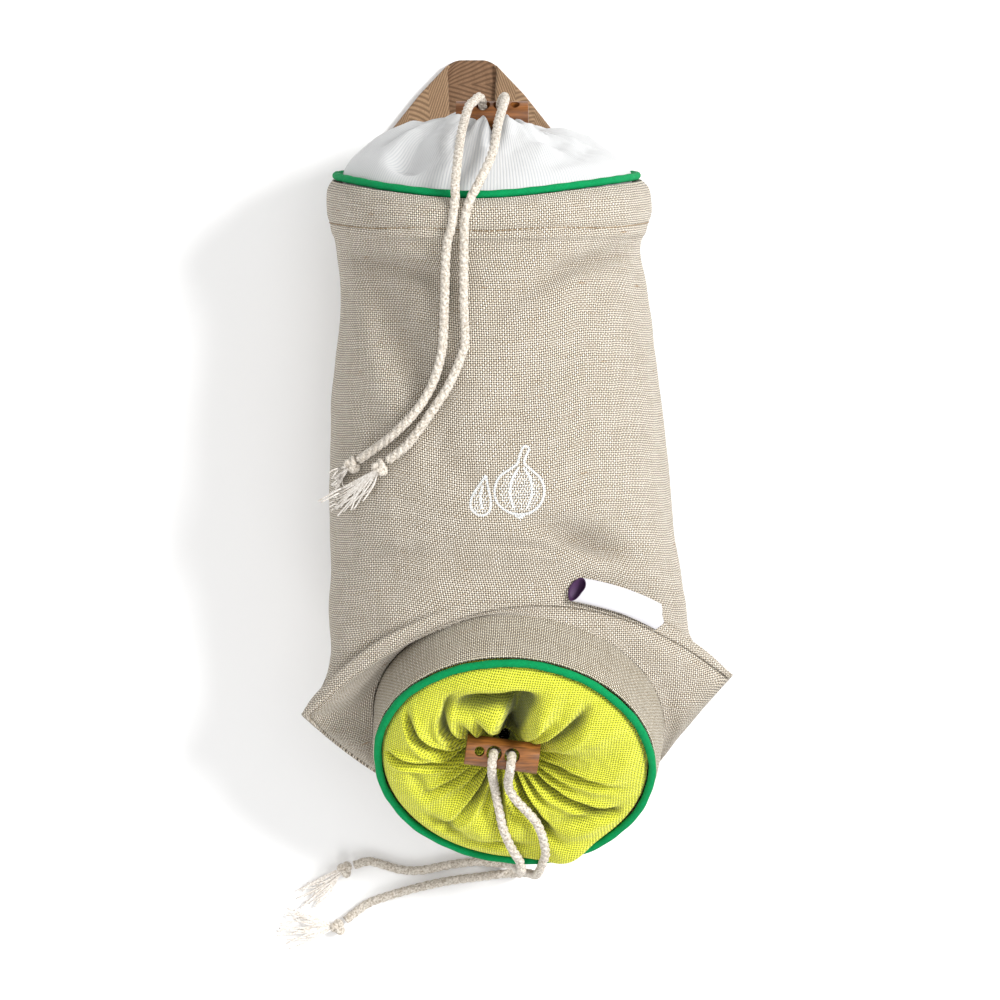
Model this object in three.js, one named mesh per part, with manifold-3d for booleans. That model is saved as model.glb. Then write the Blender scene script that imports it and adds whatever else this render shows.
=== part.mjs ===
// A garlic storage bag lying on its back: a round linen bag, closed at the head by a gathered
// white cotton cover and at the foot by a gathered lime cover in a slanting round mouth.
// Each cover is drawn shut by a cotton cord through a turned wooden toggle.
// Millimetres. +X to the right, +Y towards the hanging loop, +Z up from the table. The origin is
// under the middle of the bag, on the table.
import * as THREE from "three";
import { mergeVertices } from "three/addons/utils/BufferGeometryUtils.js";
import Module from "manifold-3d";

const wasm = await Module();
wasm.setup();

// Driving sizes
const BODY_LENGTH = 171; // from the piped rim to the line between the two ears
const BODY_WIDTH = 120; // the widest part of the linen above the ears
const BODY_DEPTH = 100; // height of the filled bag above the table
const EAR_SPAN = 142.6; // from ear tip to ear tip
const LINEN = 1.6; // two plies of linen with their lining
const COTTON = 1.2; // a gathered cover
const GAP = 0.3; // between neighbouring pieces
const PIPING = 3; // diameter of the green piping
const CORD = 3; // diameter of the drawcord
const CORD_STEP = 1.7; // length of a step along a cord, in diameters
const KNOT = 6.2; // diameter of a knot
const LOCK = 2.2; // thickness of a tassel's lock at its loose end

const MOUTH_DIAMETER = 94; // outside of the mouth's band at its free end
const MOUTH_FLARE = 1.2; // how much wider the band's radius is where it is sewn in
const MOUTH_DEPTH = 19.1; // length of the band
const MOUTH_TILT = 41.1; // degrees that the mouth leans from facing straight up
const MOUTH_TURN = -6.4; // degrees that the mouth is turned about the vertical
const MOUTH_SHIFT = 4.9; // the mouth's place to the right of the seam's crown
const SEAM_STRIP = 3; // width of the end panel between the seam's crown and the band
const TUCK = 6; // how far each cover is sewn in behind its piping

const TOGGLE_LENGTH = 24;
const TOGGLE_DIAMETER = 10;

// Holes across a toggle, measured from the end with the small spare one
const TOGGLE_HOLES = [
  { use: "spare", from: 4.4, diameter: 3.2 },
  { use: "cord", from: 9.2, diameter: 5 },
  { use: "cord", from: 15.1, diameter: 5 },
];

const TAPE_WIDTH = 21; // herringbone tape of the hanging loop
const TAPE = 1.2; // thickness of the tape
const LOOP_TOP = 138; // the loop's far edge
const LOOP_OUTER = 57; // width of the loop over both legs
const LOOP_SHIFT = -0.045; // the loop's place beside the rim's middle, a share of BODY_WIDTH

const LABEL_LENGTH = 30;
const LABEL_HEIGHT = 10;
const LABEL_BULGE = 4.6; // thickness of the folded label at its middle
const LABEL_CLOTH = 1;
const LABEL_FROM = 75; // degrees round the seam at the label's left end
const LABEL_AT = 0.988; // the label's foot, a share of BODY_LENGTH

const AROUND = 44; // points round a linen section
const COVER_AROUND = 44; // points round a gathered cover

const radians = THREE.MathUtils.degToRad;

// A table of rows whose columns are named once
function table(columns, rows) {
  return rows.map((row) => Object.fromEntries(columns.map((column, i) => [column, row[i]])));
}

// The linen from the rim to the seam at the foot, a row for each cross section. Each length is a
// share: at of BODY_LENGTH; shift, wide of BODY_WIDTH; centre, top and under of BODY_DEPTH.
// tilt and back are the lean in degrees of a section's upper and lower half, rest is how far it
// is pressed square by the table, ear how far it is drawn to a point at both sides, and skew
// how far its right side is turned towards the head.
const SECTIONS = table(
  ["at", "shift", "wide", "centre", "top", "under", "tilt", "back", "rest", "ear", "skew"],
  [
    [0.0, -0.083, 0.858, 0.505, 0.495, 0.495, -6, -6, 0, 0, 0],
    [0.018, -0.079, 0.888, 0.505, 0.508, 0.506, -6, -6, 0.1, 0, 0],
    [0.06, -0.077, 0.895, 0.505, 0.51, 0.508, -6, -5, 0.3, 0, 0],
    [0.1, -0.079, 0.87, 0.503, 0.498, 0.506, -5, -4, 0.5, 0, 0],
    [0.14, -0.08, 0.846, 0.5, 0.487, 0.505, -4, -3, 0.7, 0, 0],
    [0.21, -0.066, 0.85, 0.5, 0.488, 0.508, -3, -2, 0.9, 0, 0],
    [0.32, -0.059, 0.878, 0.5, 0.494, 0.51, -1, 0, 1, 0, 0],
    [0.43, -0.056, 0.91, 0.5, 0.5, 0.512, 0, 0, 1, 0, 0],
    [0.54, -0.05, 0.935, 0.5, 0.5, 0.512, 2, 2, 1, 0, 0],
    [0.65, -0.045, 0.95, 0.5, 0.497, 0.512, 7, 5, 1, 0, 0],
    [0.75, -0.036, 0.965, 0.505, 0.488, 0.515, 15, 9, 0.9, 0.06, 0],
    [0.83, -0.028, 0.99, 0.53, 0.468, 0.545, 26, 15, 0.6, 0.2, 0.02],
    [0.91, -0.018, 1.0, 0.565, 0.44, 0.6, 38, 23, 0.3, 0.5, 0.05],
    [0.96, -0.006, 1.07, 0.59, 0.422, 0.66, 45, 30, 0.1, 0.8, 0.074],
    [1.0, 0.0, EAR_SPAN / BODY_WIDTH, 0.61, 0.407, 0.7, 49, 36, 0, 1, 0.091],
  ],
);

// Dents and folds in the linen's upper side: across as a share of the half width, along of
// BODY_LENGTH, long and broad as shares of BODY_WIDTH, turn in degrees from the bag's length,
// and deep in millimetres, negative for a ridge.
const FOLDS = table(
  ["across", "along", "long", "broad", "turn", "deep"],
  [
    [-0.45, 0.2, 0.2, 0.1, 70, 2.2], // dent under the hem, left
    [-0.72, 0.32, 0.3, 0.06, 22, -1.6], // ridge down the left side
    [-0.42, 0.36, 0.3, 0.1, 20, 1.6], // hollow beside that ridge
    [0.82, 0.16, 0.12, 0.07, 75, 2], // pinch under the hem, right
    [0.5, 0.8, 0.13, 0.1, 80, 2.6], // hollow above the label
    [-0.72, 0.86, 0.14, 0.09, 60, 2.6], // hollow above the left ear
  ],
);

// The gathered covers. Lengths in millimetres: a valley holds the toggle, slump is how far the
// cover sinks at its right, and pole is the gathered hole's place beside the opening's middle.
const TOP_COVER = {
  height: 22.5,
  folds: 9,
  deep: 2.2,
  hole: 5.4,
  valley: { deep: 9, wide: 7, long: 20 },
  slump: 3,
  pole: { x: -1.7, y: -2 },
};
const MOUTH_COVER = {
  height: 5.5,
  folds: 9,
  deep: 1.6,
  hole: 5.4,
  valley: { deep: 5.5, wide: 8.5, long: 20 },
  slump: 0,
  pole: { x: -4.3, y: -2 },
};

// Each cover from its sewn edge to the hole in the middle: out is a share of the sewn edge's
// radius, high a share of the cover's height, and fold of the fold depth.
const TOP_PROFILE = table(
  ["out", "high", "fold"],
  [
    [1.0, 0.0, 0],
    [0.99, 0.13, 0.05],
    [0.945, 0.3, 0.25],
    [0.865, 0.46, 0.5],
    [0.76, 0.62, 0.8],
    [0.61, 0.77, 1],
    [0.45, 0.9, 1],
    [0.31, 0.98, 0.8],
    [0.21, 0.93, 0.5],
    [0.14, 0.8, 0.25],
  ],
);
const MOUTH_PROFILE = table(
  ["out", "high", "fold"],
  [
    [1.0, 0.0, 0],
    [0.975, 0.4, 0.1],
    [0.9, 0.78, 0.3],
    [0.78, 1.0, 0.6],
    [0.63, 0.98, 0.9],
    [0.48, 0.72, 1],
    [0.34, 0.35, 0.9],
    [0.23, -0.05, 0.6],
    [0.15, -0.5, 0.3],
  ],
);

const LINEN_COLOUR = { color: 0xc9bda6, roughness: 0.92, metalness: 0 };
const BAND_COLOUR = { color: 0xcdbfae, roughness: 0.92, metalness: 0 };
const COTTON_COLOUR = { color: 0xf0efec, roughness: 0.9, metalness: 0 };
const LIME_COLOUR = { color: 0xc3d42a, roughness: 0.9, metalness: 0 };
const GREEN_COLOUR = { color: 0x129a5c, roughness: 0.75, metalness: 0 };
const WOOD_COLOUR = { color: 0xa9693d, roughness: 0.55, metalness: 0 };
const CORD_COLOUR = { color: 0xe6e0d6, roughness: 0.9, metalness: 0 };
const TAPE_COLOUR = { color: 0xa17f5c, roughness: 0.85, metalness: 0 };
const LABEL_COLOUR = { color: 0xf4f3f4, roughness: 0.6, metalness: 0 };

// A smooth value between the rows of a table, each column by itself.
function rowAt(rows, share) {
  const last = rows.length - 1;
  const place = THREE.MathUtils.clamp(share, 0, 1) * last;
  const i = Math.min(Math.floor(place), last - 1);
  const t = place - i;
  const near = [i - 1, i, i + 1, i + 2].map((k) => rows[THREE.MathUtils.clamp(k, 0, last)]);
  const mixed = {};
  for (const column of Object.keys(rows[0])) {
    const [a, b, c, d] = near.map((row) => row[column]);
    const bend = (2 * a - 5 * b + 4 * c - d) * t * t + (3 * b - a - 3 * c + d) * t * t * t;
    mixed[column] = b + ((c - a) * t + bend) / 2;
  }
  return mixed;
}

// A closed skin over rings of points, the last ring joined to the first unless it is capped.
function loft(rings, capped = false) {
  const count = rings[0].length;
  const positions = rings.flat().flatMap((p) => [p.x, p.y, p.z]);
  const index = [];
  const spans = capped ? rings.length - 1 : rings.length;
  for (let i = 0; i < spans; i++) {
    const here = i * count;
    const next = ((i + 1) % rings.length) * count;
    for (let k = 0; k < count; k++) {
      const k2 = (k + 1) % count;
      index.push(here + k, next + k, next + k2, here + k, next + k2, here + k2);
    }
  }
  if (capped) {
    const last = (rings.length - 1) * count;
    for (let k = 1; k < count - 1; k++) {
      index.push(0, k, k + 1, last, last + k + 1, last + k);
    }
  }
  const geometry = new THREE.BufferGeometry();
  geometry.setAttribute("position", new THREE.Float32BufferAttribute(positions, 3));
  geometry.setIndex(index);
  if (signedVolume(geometry) < 0) index.reverse();
  return geometry.setIndex(index);
}

function signedVolume(geometry) {
  const at = geometry.getAttribute("position");
  const corner = (i) => new THREE.Vector3().fromBufferAttribute(at, geometry.index.getX(i));
  let volume = 0;
  for (let i = 0; i < geometry.index.count; i += 3) {
    volume += corner(i).dot(corner(i + 1).cross(corner(i + 2))) / 6;
  }
  return volume;
}

// manifold-3d solids from and to three.js geometry, for cuts and joins
function solid(geometry) {
  const bare = geometry.clone();
  bare.deleteAttribute("normal");
  bare.deleteAttribute("uv");
  const merged = mergeVertices(bare, 1e-4);
  return new wasm.Manifold(
    new wasm.Mesh({
      numProp: 3,
      vertProperties: merged.attributes.position.array,
      triVerts: new Uint32Array(merged.index.array),
    }),
  );
}

function geometryOf(body) {
  const mesh = body.getMesh();
  const geometry = new THREE.BufferGeometry();
  const places = Float32Array.from(mesh.vertProperties);
  geometry.setAttribute("position", new THREE.BufferAttribute(places, 3));
  geometry.setIndex(new THREE.BufferAttribute(Uint32Array.from(mesh.triVerts), 1));
  return geometry;
}

function named(name, geometry, colour) {
  geometry.computeVertexNormals();
  const mesh = new THREE.Mesh(geometry, new THREE.MeshStandardMaterial(colour));
  mesh.name = name;
  return mesh;
}

const group = new THREE.Group();

// Linen bag

function foldDepth(across, along) {
  let depth = 0;
  for (const fold of FOLDS) {
    const turn = radians(fold.turn);
    const dx = ((across - fold.across) * BODY_WIDTH) / 2;
    const dy = (along - fold.along) * BODY_LENGTH;
    const lengthwise = (dy * Math.cos(turn) + dx * Math.sin(turn)) / (fold.long * BODY_WIDTH);
    const crosswise = (dx * Math.cos(turn) - dy * Math.sin(turn)) / (fold.broad * BODY_WIDTH);
    depth += fold.deep * Math.exp(-(lengthwise ** 2) - crosswise ** 2);
  }
  return depth;
}

const RIM_Y = BODY_LENGTH * 0.544; // the rim's place on the bag's length, before it is centred

// A point of the linen's outside, moved in by inset, at an angle round the bag.
function linenPoint(row, angle, inset) {
  const c = Math.cos(angle);
  const s = Math.sin(angle);
  const upper = s >= 0;
  const squareness = 1 - 0.2 * row.rest * (upper ? 0 : 1);
  const lift = squareness + row.ear * (2 - squareness);
  const sideInset = inset * (1 + 0.6 * row.ear);
  const x = ((row.wide * BODY_WIDTH) / 2 - sideInset) * Math.sign(c) * Math.abs(c) ** squareness;
  const reach = (upper ? row.top : row.under) * BODY_DEPTH - inset;
  const dent = upper ? foldDepth(x / (BODY_WIDTH / 2), row.at) * s : 0;
  const w = Math.sign(s) * reach * Math.abs(s) ** lift - dent;
  const tilt = radians(upper ? row.tilt : row.back);
  return new THREE.Vector3(
    x + row.shift * BODY_WIDTH,
    RIM_Y - row.at * BODY_LENGTH + w * Math.sin(tilt) + row.skew * x,
    Math.max(row.centre * BODY_DEPTH + w * Math.cos(tilt), inset),
  );
}

function linenRing(share, inset) {
  const row = rowAt(SECTIONS, share);
  const angles = Array.from({ length: AROUND }, (_, k) => (2 * Math.PI * k) / AROUND);
  return angles.map((angle) => linenPoint(row, angle, inset));
}

const OUTER_ROWS = 20;
const INNER_ROWS = [20, 19, 18, 17, 16, 14, 12, 9, 6, 3, 0]; // outside rows with one inside
const shares = (count) => Array.from({ length: count + 1 }, (_, i) => i / count);
const linenRings = [
  ...shares(OUTER_ROWS).map((share) => linenRing(share, 0)),
  ...INNER_ROWS.map((row) => linenRing(row / OUTER_ROWS, LINEN)),
];
group.add(named("body_canvas", loft(linenRings), LINEN_COLOUR));

// Frames of the rim and the mouth: x across, y up in the plane of the opening, z out of the bag

function openingFrame(origin, across, up) {
  const out = new THREE.Vector3().crossVectors(across, up);
  const frame = new THREE.Group();
  frame.matrix.makeBasis(across, up, out).setPosition(origin);
  frame.matrix.decompose(frame.position, frame.quaternion, frame.scale);
  frame.updateMatrix();
  group.add(frame);
  return frame;
}

const rim = SECTIONS[0];
const rimTilt = radians(rim.tilt);
const rimFrame = openingFrame(
  new THREE.Vector3(rim.shift * BODY_WIDTH, RIM_Y, rim.centre * BODY_DEPTH),
  new THREE.Vector3(-1, 0, 0),
  new THREE.Vector3(0, Math.sin(rimTilt), Math.cos(rimTilt)),
);
const rimHalf = { x: (rim.wide * BODY_WIDTH) / 2, y: rim.top * BODY_DEPTH };

const seam = SECTIONS[SECTIONS.length - 1];
const crown = linenPoint(seam, Math.PI / 2, 0);
const mouthRadius = MOUTH_DIAMETER / 2;
const baseRadius = mouthRadius + MOUTH_FLARE;
const mouthUp = new THREE.Vector3(0, Math.cos(radians(MOUTH_TILT)), Math.sin(radians(MOUTH_TILT)));
mouthUp.applyAxisAngle(new THREE.Vector3(0, 0, 1), radians(MOUTH_TURN));
const mouthAcross = new THREE.Vector3(1, 0, 0);
mouthAcross.applyAxisAngle(new THREE.Vector3(0, 0, 1), radians(MOUTH_TURN));
const mouthOut = new THREE.Vector3().crossVectors(mouthAcross, mouthUp);
const mouthBase = crown
  .clone()
  .addScaledVector(mouthUp, -(baseRadius + SEAM_STRIP))
  .addScaledVector(mouthAcross, MOUTH_SHIFT)
  .addScaledVector(mouthOut, 4 * GAP);
const mouthEnd = mouthBase.clone().addScaledVector(mouthOut, MOUTH_DEPTH);
const mouthFrame = openingFrame(mouthEnd, mouthAcross, mouthUp);

// End panel between the seam, with its two ears, and the mouth's band

const PANEL_ROWS = 3;
function panelRing(share, lift) {
  const ring = [];
  for (let k = 0; k < AROUND; k++) {
    const angle = (2 * Math.PI * k) / AROUND;
    const lean = radians(THREE.MathUtils.lerp(seam.back, seam.tilt, (1 + Math.sin(angle)) / 2));
    const out = new THREE.Vector3(0, -Math.cos(lean), Math.sin(lean));
    const lap = Math.min(1, share * PANEL_ROWS) * 1.4;
    const edge = linenPoint(seam, angle, lap * LINEN).addScaledVector(out, 1.4 * GAP + lift);
    const radius = baseRadius + 2.5 * GAP;
    const hole = new THREE.Vector3(Math.cos(angle), Math.sin(angle), 0).multiplyScalar(radius);
    hole.setZ(lift - MOUTH_DEPTH).applyMatrix4(mouthFrame.matrix);
    const point = edge.lerp(hole, Math.max(0, (share * PANEL_ROWS - 1) / (PANEL_ROWS - 1)));
    point.z = Math.max(point.z, lift);
    ring.push(point);
  }
  return ring;
}
const panelRings = [
  ...shares(PANEL_ROWS).map((share) => panelRing(share, LINEN)),
  ...shares(PANEL_ROWS).reverse().map((share) => panelRing(share, 0)),
];
group.add(named("end_panel", loft(panelRings), LINEN_COLOUR));

// Round pieces of an opening, in its own frame

function oval(halfX, halfY, z, count) {
  return Array.from({ length: count }, (_, k) => {
    const angle = (2 * Math.PI * k) / count;
    return new THREE.Vector3(halfX * Math.cos(angle), halfY * Math.sin(angle), z);
  });
}

const BAND_AROUND = 40;
const bandOut = [
  { deep: 1, wide: baseRadius },
  { deep: 0.4, wide: mouthRadius + 0.5 },
  { deep: 0, wide: mouthRadius - 0.4 },
];
function bandRing(row, inset) {
  return oval(row.wide - inset, row.wide - inset, -row.deep * MOUTH_DEPTH, BAND_AROUND);
}
const bandRings = [
  ...bandOut.map((row) => bandRing(row, 0)),
  ...[...bandOut].reverse().map((row) => bandRing(row, LINEN)),
];
mouthFrame.add(named("mouth_band", loft(bandRings), BAND_COLOUR));

const PIPING_SIDES = 6;
function pipingRing(halfX, halfY) {
  const rings = Array.from({ length: PIPING_SIDES }, (_, k) => {
    const angle = (2 * Math.PI * k) / PIPING_SIDES;
    const out = (PIPING / 2) * Math.cos(angle);
    const high = GAP + (PIPING / 2) * (1 + Math.sin(angle));
    return oval(halfX + out, halfY + out, high, BAND_AROUND);
  });
  return loft(rings);
}
const topPiping = pipingRing(rimHalf.x - PIPING / 2, rimHalf.y - PIPING / 2);
rimFrame.add(named("top_piping", topPiping, GREEN_COLOUR));
const mouthPipingRadius = mouthRadius - PIPING / 2 - GAP;
const mouthPiping = pipingRing(mouthPipingRadius, mouthPipingRadius);
mouthFrame.add(named("mouth_piping", mouthPiping, GREEN_COLOUR));

// Toggles: where each lies on its cover, in the opening's frame. turn and lean are the degrees
// that it is turned about the opening's z and about its own length.
const TOP_TOGGLE = { x: -1.7, y: 0, z: 21, turn: -1, lean: 35 };
const MOUTH_TOGGLE = { x: -4.3, y: 7.2, z: 4.8, turn: -2, lean: 42 };

// Gathered covers

function coverPoint(cover, profile, half, toggle, share, angle, inset) {
  const row = rowAt(profile, share);
  const next = rowAt(profile, share + 0.02);
  const before = rowAt(profile, share - 0.02);
  const steep = new THREE.Vector2(
    (before.out - next.out) * half.x,
    (before.high - next.high) * cover.height,
  ).normalize();
  const pleats = Math.cos(cover.folds * angle) + 0.5 * Math.cos((cover.folds - 4) * angle + 2);
  const wave = (cover.deep * row.fold * pleats) / 1.5;
  const outX = Math.max(row.out * half.x, cover.hole) + inset * steep.y;
  const outY = Math.max(row.out * half.y, cover.hole) + inset * steep.y;
  const point = new THREE.Vector3(outX * Math.cos(angle), outY * Math.sin(angle), 0);
  point.x += cover.pole.x * (1 - row.out ** 2);
  point.y += cover.pole.y * (1 - row.out ** 2);
  const along = (point.x - toggle.x) / cover.valley.long;
  const off = (point.y - (toggle.y + cover.pole.y) / 2) / cover.valley.wide;
  const hollow = Math.exp(-(along ** 4) - off ** 2) * Math.min(1, (1 - row.out) * 3);
  const sunk = 4 * row.out * (1 - row.out) * Math.max(0, -Math.cos(angle));
  const high = row.high * cover.height + wave - cover.valley.deep * hollow - cover.slump * sunk;
  point.z = high - inset * Math.abs(steep.x);
  return point;
}

const COVER_ROWS = 8;
function coverGeometry(cover, profile, half, toggle) {
  const ring = (share, inset) =>
    Array.from({ length: COVER_AROUND }, (_, k) =>
      coverPoint(cover, profile, half, toggle, share, (2 * Math.PI * k) / COVER_AROUND, inset),
    );
  const skirt = (inset) => oval(half.x - inset, half.y - inset, -TUCK, COVER_AROUND);
  return loft([
    skirt(0),
    ...shares(COVER_ROWS).map((share) => ring(share, 0)),
    ...shares(COVER_ROWS).reverse().map((share) => ring(share, COTTON)),
    skirt(COTTON),
  ]);
}
const topHalf = { x: rimHalf.x - PIPING - 3 * GAP, y: rimHalf.y - PIPING - 3 * GAP };
const mouthHalf = { x: mouthRadius - PIPING - 2 * GAP, y: mouthRadius - PIPING - 2 * GAP };
const topCover = coverGeometry(TOP_COVER, TOP_PROFILE, topHalf, TOP_TOGGLE);
rimFrame.add(named("top_cover", topCover, COTTON_COLOUR));
const mouthCover = coverGeometry(MOUTH_COVER, MOUTH_PROFILE, mouthHalf, MOUTH_TOGGLE);
mouthFrame.add(named("mouth_cover", mouthCover, LIME_COLOUR));

// Toggles: a turned bar with rounded ends and three holes across it

function toggleGeometry(toggle) {
  const half = TOGGLE_LENGTH / 2;
  const radius = TOGGLE_DIAMETER / 2;
  const profile = [
    new THREE.Vector2(0, -half),
    new THREE.Vector2(radius - 1, -half),
    new THREE.Vector2(radius, -half + 1),
    new THREE.Vector2(radius, half - 1),
    new THREE.Vector2(radius - 1, half),
    new THREE.Vector2(0, half),
  ];
  let bar = solid(new THREE.LatheGeometry(profile, 12).rotateZ(-Math.PI / 2));
  for (const row of TOGGLE_HOLES) {
    const width = row.diameter / 2;
    const hole = new THREE.CylinderGeometry(width, width, TOGGLE_DIAMETER + 2, 8);
    hole.rotateX(Math.PI / 2 - radians(toggle.lean)).translate(row.from - half, 0, 0);
    bar = bar.subtract(solid(hole));
  }
  const turned = geometryOf(bar).rotateZ(radians(toggle.turn));
  return turned.translate(toggle.x, toggle.y, toggle.z);
}
rimFrame.add(named("top_toggle", toggleGeometry(TOP_TOGGLE), WOOD_COLOUR));
mouthFrame.add(named("mouth_toggle", toggleGeometry(MOUTH_TOGGLE), WOOD_COLOUR));

// Hanging loop: a tape folded at two slanting corners, its two legs lying on the strip between them

function plate(corners, low) {
  const shape = new THREE.Shape(corners.map(([x, y]) => new THREE.Vector2(x, y)));
  return new THREE.ExtrudeGeometry(shape, { depth: TAPE, bevelEnabled: false }).translate(0, 0, low);
}
function foldRoll(from, to) {
  const radius = TAPE + 0.1;
  const start = new THREE.Vector3(from[0], from[1], radius);
  const end = new THREE.Vector3(to[0], to[1], radius);
  const roll = new THREE.CylinderGeometry(radius, radius, start.distanceTo(end), 8);
  const along = end.clone().sub(start).normalize();
  const turn = new THREE.Quaternion().setFromUnitVectors(new THREE.Vector3(0, 1, 0), along);
  const middle = start.lerp(end, 0.5);
  return roll.applyQuaternion(turn).translate(middle.x, middle.y, middle.z);
}
const loopMiddle = (rim.shift + LOOP_SHIFT) * BODY_WIDTH;
const rimFoot = RIM_Y + rimHalf.y * Math.sin(-rimTilt) + PIPING + 2 * GAP;
const innerX = LOOP_OUTER / 2 - TAPE_WIDTH;
const loopCorners = [-1, 1].map((side) => ({
  top: [loopMiddle + side * (innerX + 1), LOOP_TOP],
  low: [loopMiddle + (side * LOOP_OUTER) / 2, LOOP_TOP - 1.2 * TAPE_WIDTH],
  outerFoot: [loopMiddle + side * (LOOP_OUTER / 2 - 1.5), rimFoot + Math.min(side, 0) * 2 * PIPING],
  innerFoot: [loopMiddle + side * (innerX - 0.5), rimFoot],
}));
const [loopLeft, loopRight] = loopCorners;
let loop = solid(plate([loopLeft.top, loopLeft.low, loopRight.low, loopRight.top], 0));
for (const corner of loopCorners) {
  const leg = plate([corner.top, corner.low, corner.outerFoot, corner.innerFoot], TAPE + 0.2);
  loop = loop.add(solid(leg)).add(solid(foldRoll(corner.top, corner.low)));
}
group.add(named("hanging_loop", geometryOf(loop), TAPE_COLOUR));

// Label: a folded tag standing from the seam over the linen, hollow between its two plies

// The share of the way down SECTIONS of a section's place on BODY_LENGTH
function shareOf(at) {
  const next = Math.max(1, SECTIONS.findIndex((row) => row.at >= at));
  const before = SECTIONS[next - 1];
  const part = (at - before.at) / (SECTIONS[next].at - before.at);
  return (next - 1 + part) / (SECTIONS.length - 1);
}

function linenFrame(share, angle) {
  const at = linenPoint(rowAt(SECTIONS, share), angle, 0);
  const headward = linenPoint(rowAt(SECTIONS, share - 0.02), angle, 0).sub(at);
  const around = linenPoint(rowAt(SECTIONS, share), angle + 0.02, 0).sub(at);
  const normal = new THREE.Vector3().crossVectors(around, headward).normalize();
  if (normal.z < 0) normal.negate();
  return { at, normal };
}
const LABEL_STATIONS = 4;
const LABEL_SIDES = 10;
function labelRing(station, cloth) {
  const turn = ((station / LABEL_STATIONS) * LABEL_LENGTH) / (BODY_WIDTH / 2);
  return Array.from({ length: LABEL_SIDES }, (_, k) => {
    const phi = (2 * Math.PI * k) / LABEL_SIDES;
    const up = LABEL_HEIGHT / 2 - (LABEL_HEIGHT / 2 - cloth) * Math.cos(phi);
    const off = LABEL_BULGE / 2 + 1.4 * GAP + (LABEL_BULGE / 2 - cloth) * Math.sin(phi);
    const share = shareOf(LABEL_AT - up / BODY_LENGTH);
    const { at, normal } = linenFrame(share, radians(LABEL_FROM) - turn);
    return at.addScaledVector(normal, off);
  });
}
const stations = Array.from({ length: LABEL_STATIONS + 1 }, (_, i) => i);
const labelRings = [
  ...stations.map((station) => labelRing(station, 0)),
  ...[...stations].reverse().map((station) => labelRing(station, LABEL_CLOTH)),
];
group.add(named("side_label", loft(labelRings), LABEL_COLOUR));

// The bag is centred over the origin and stands on z = 0.
group.updateMatrixWorld(true);
const bounds = new THREE.Box3().setFromObject(group, true);
const centre = bounds.getCenter(new THREE.Vector3());
const bag = new THREE.Group();
bag.add(group);
bag.position.set(-centre.x, -centre.y, -bounds.min.z);

const part = new THREE.Group();
part.add(bag);

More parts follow.
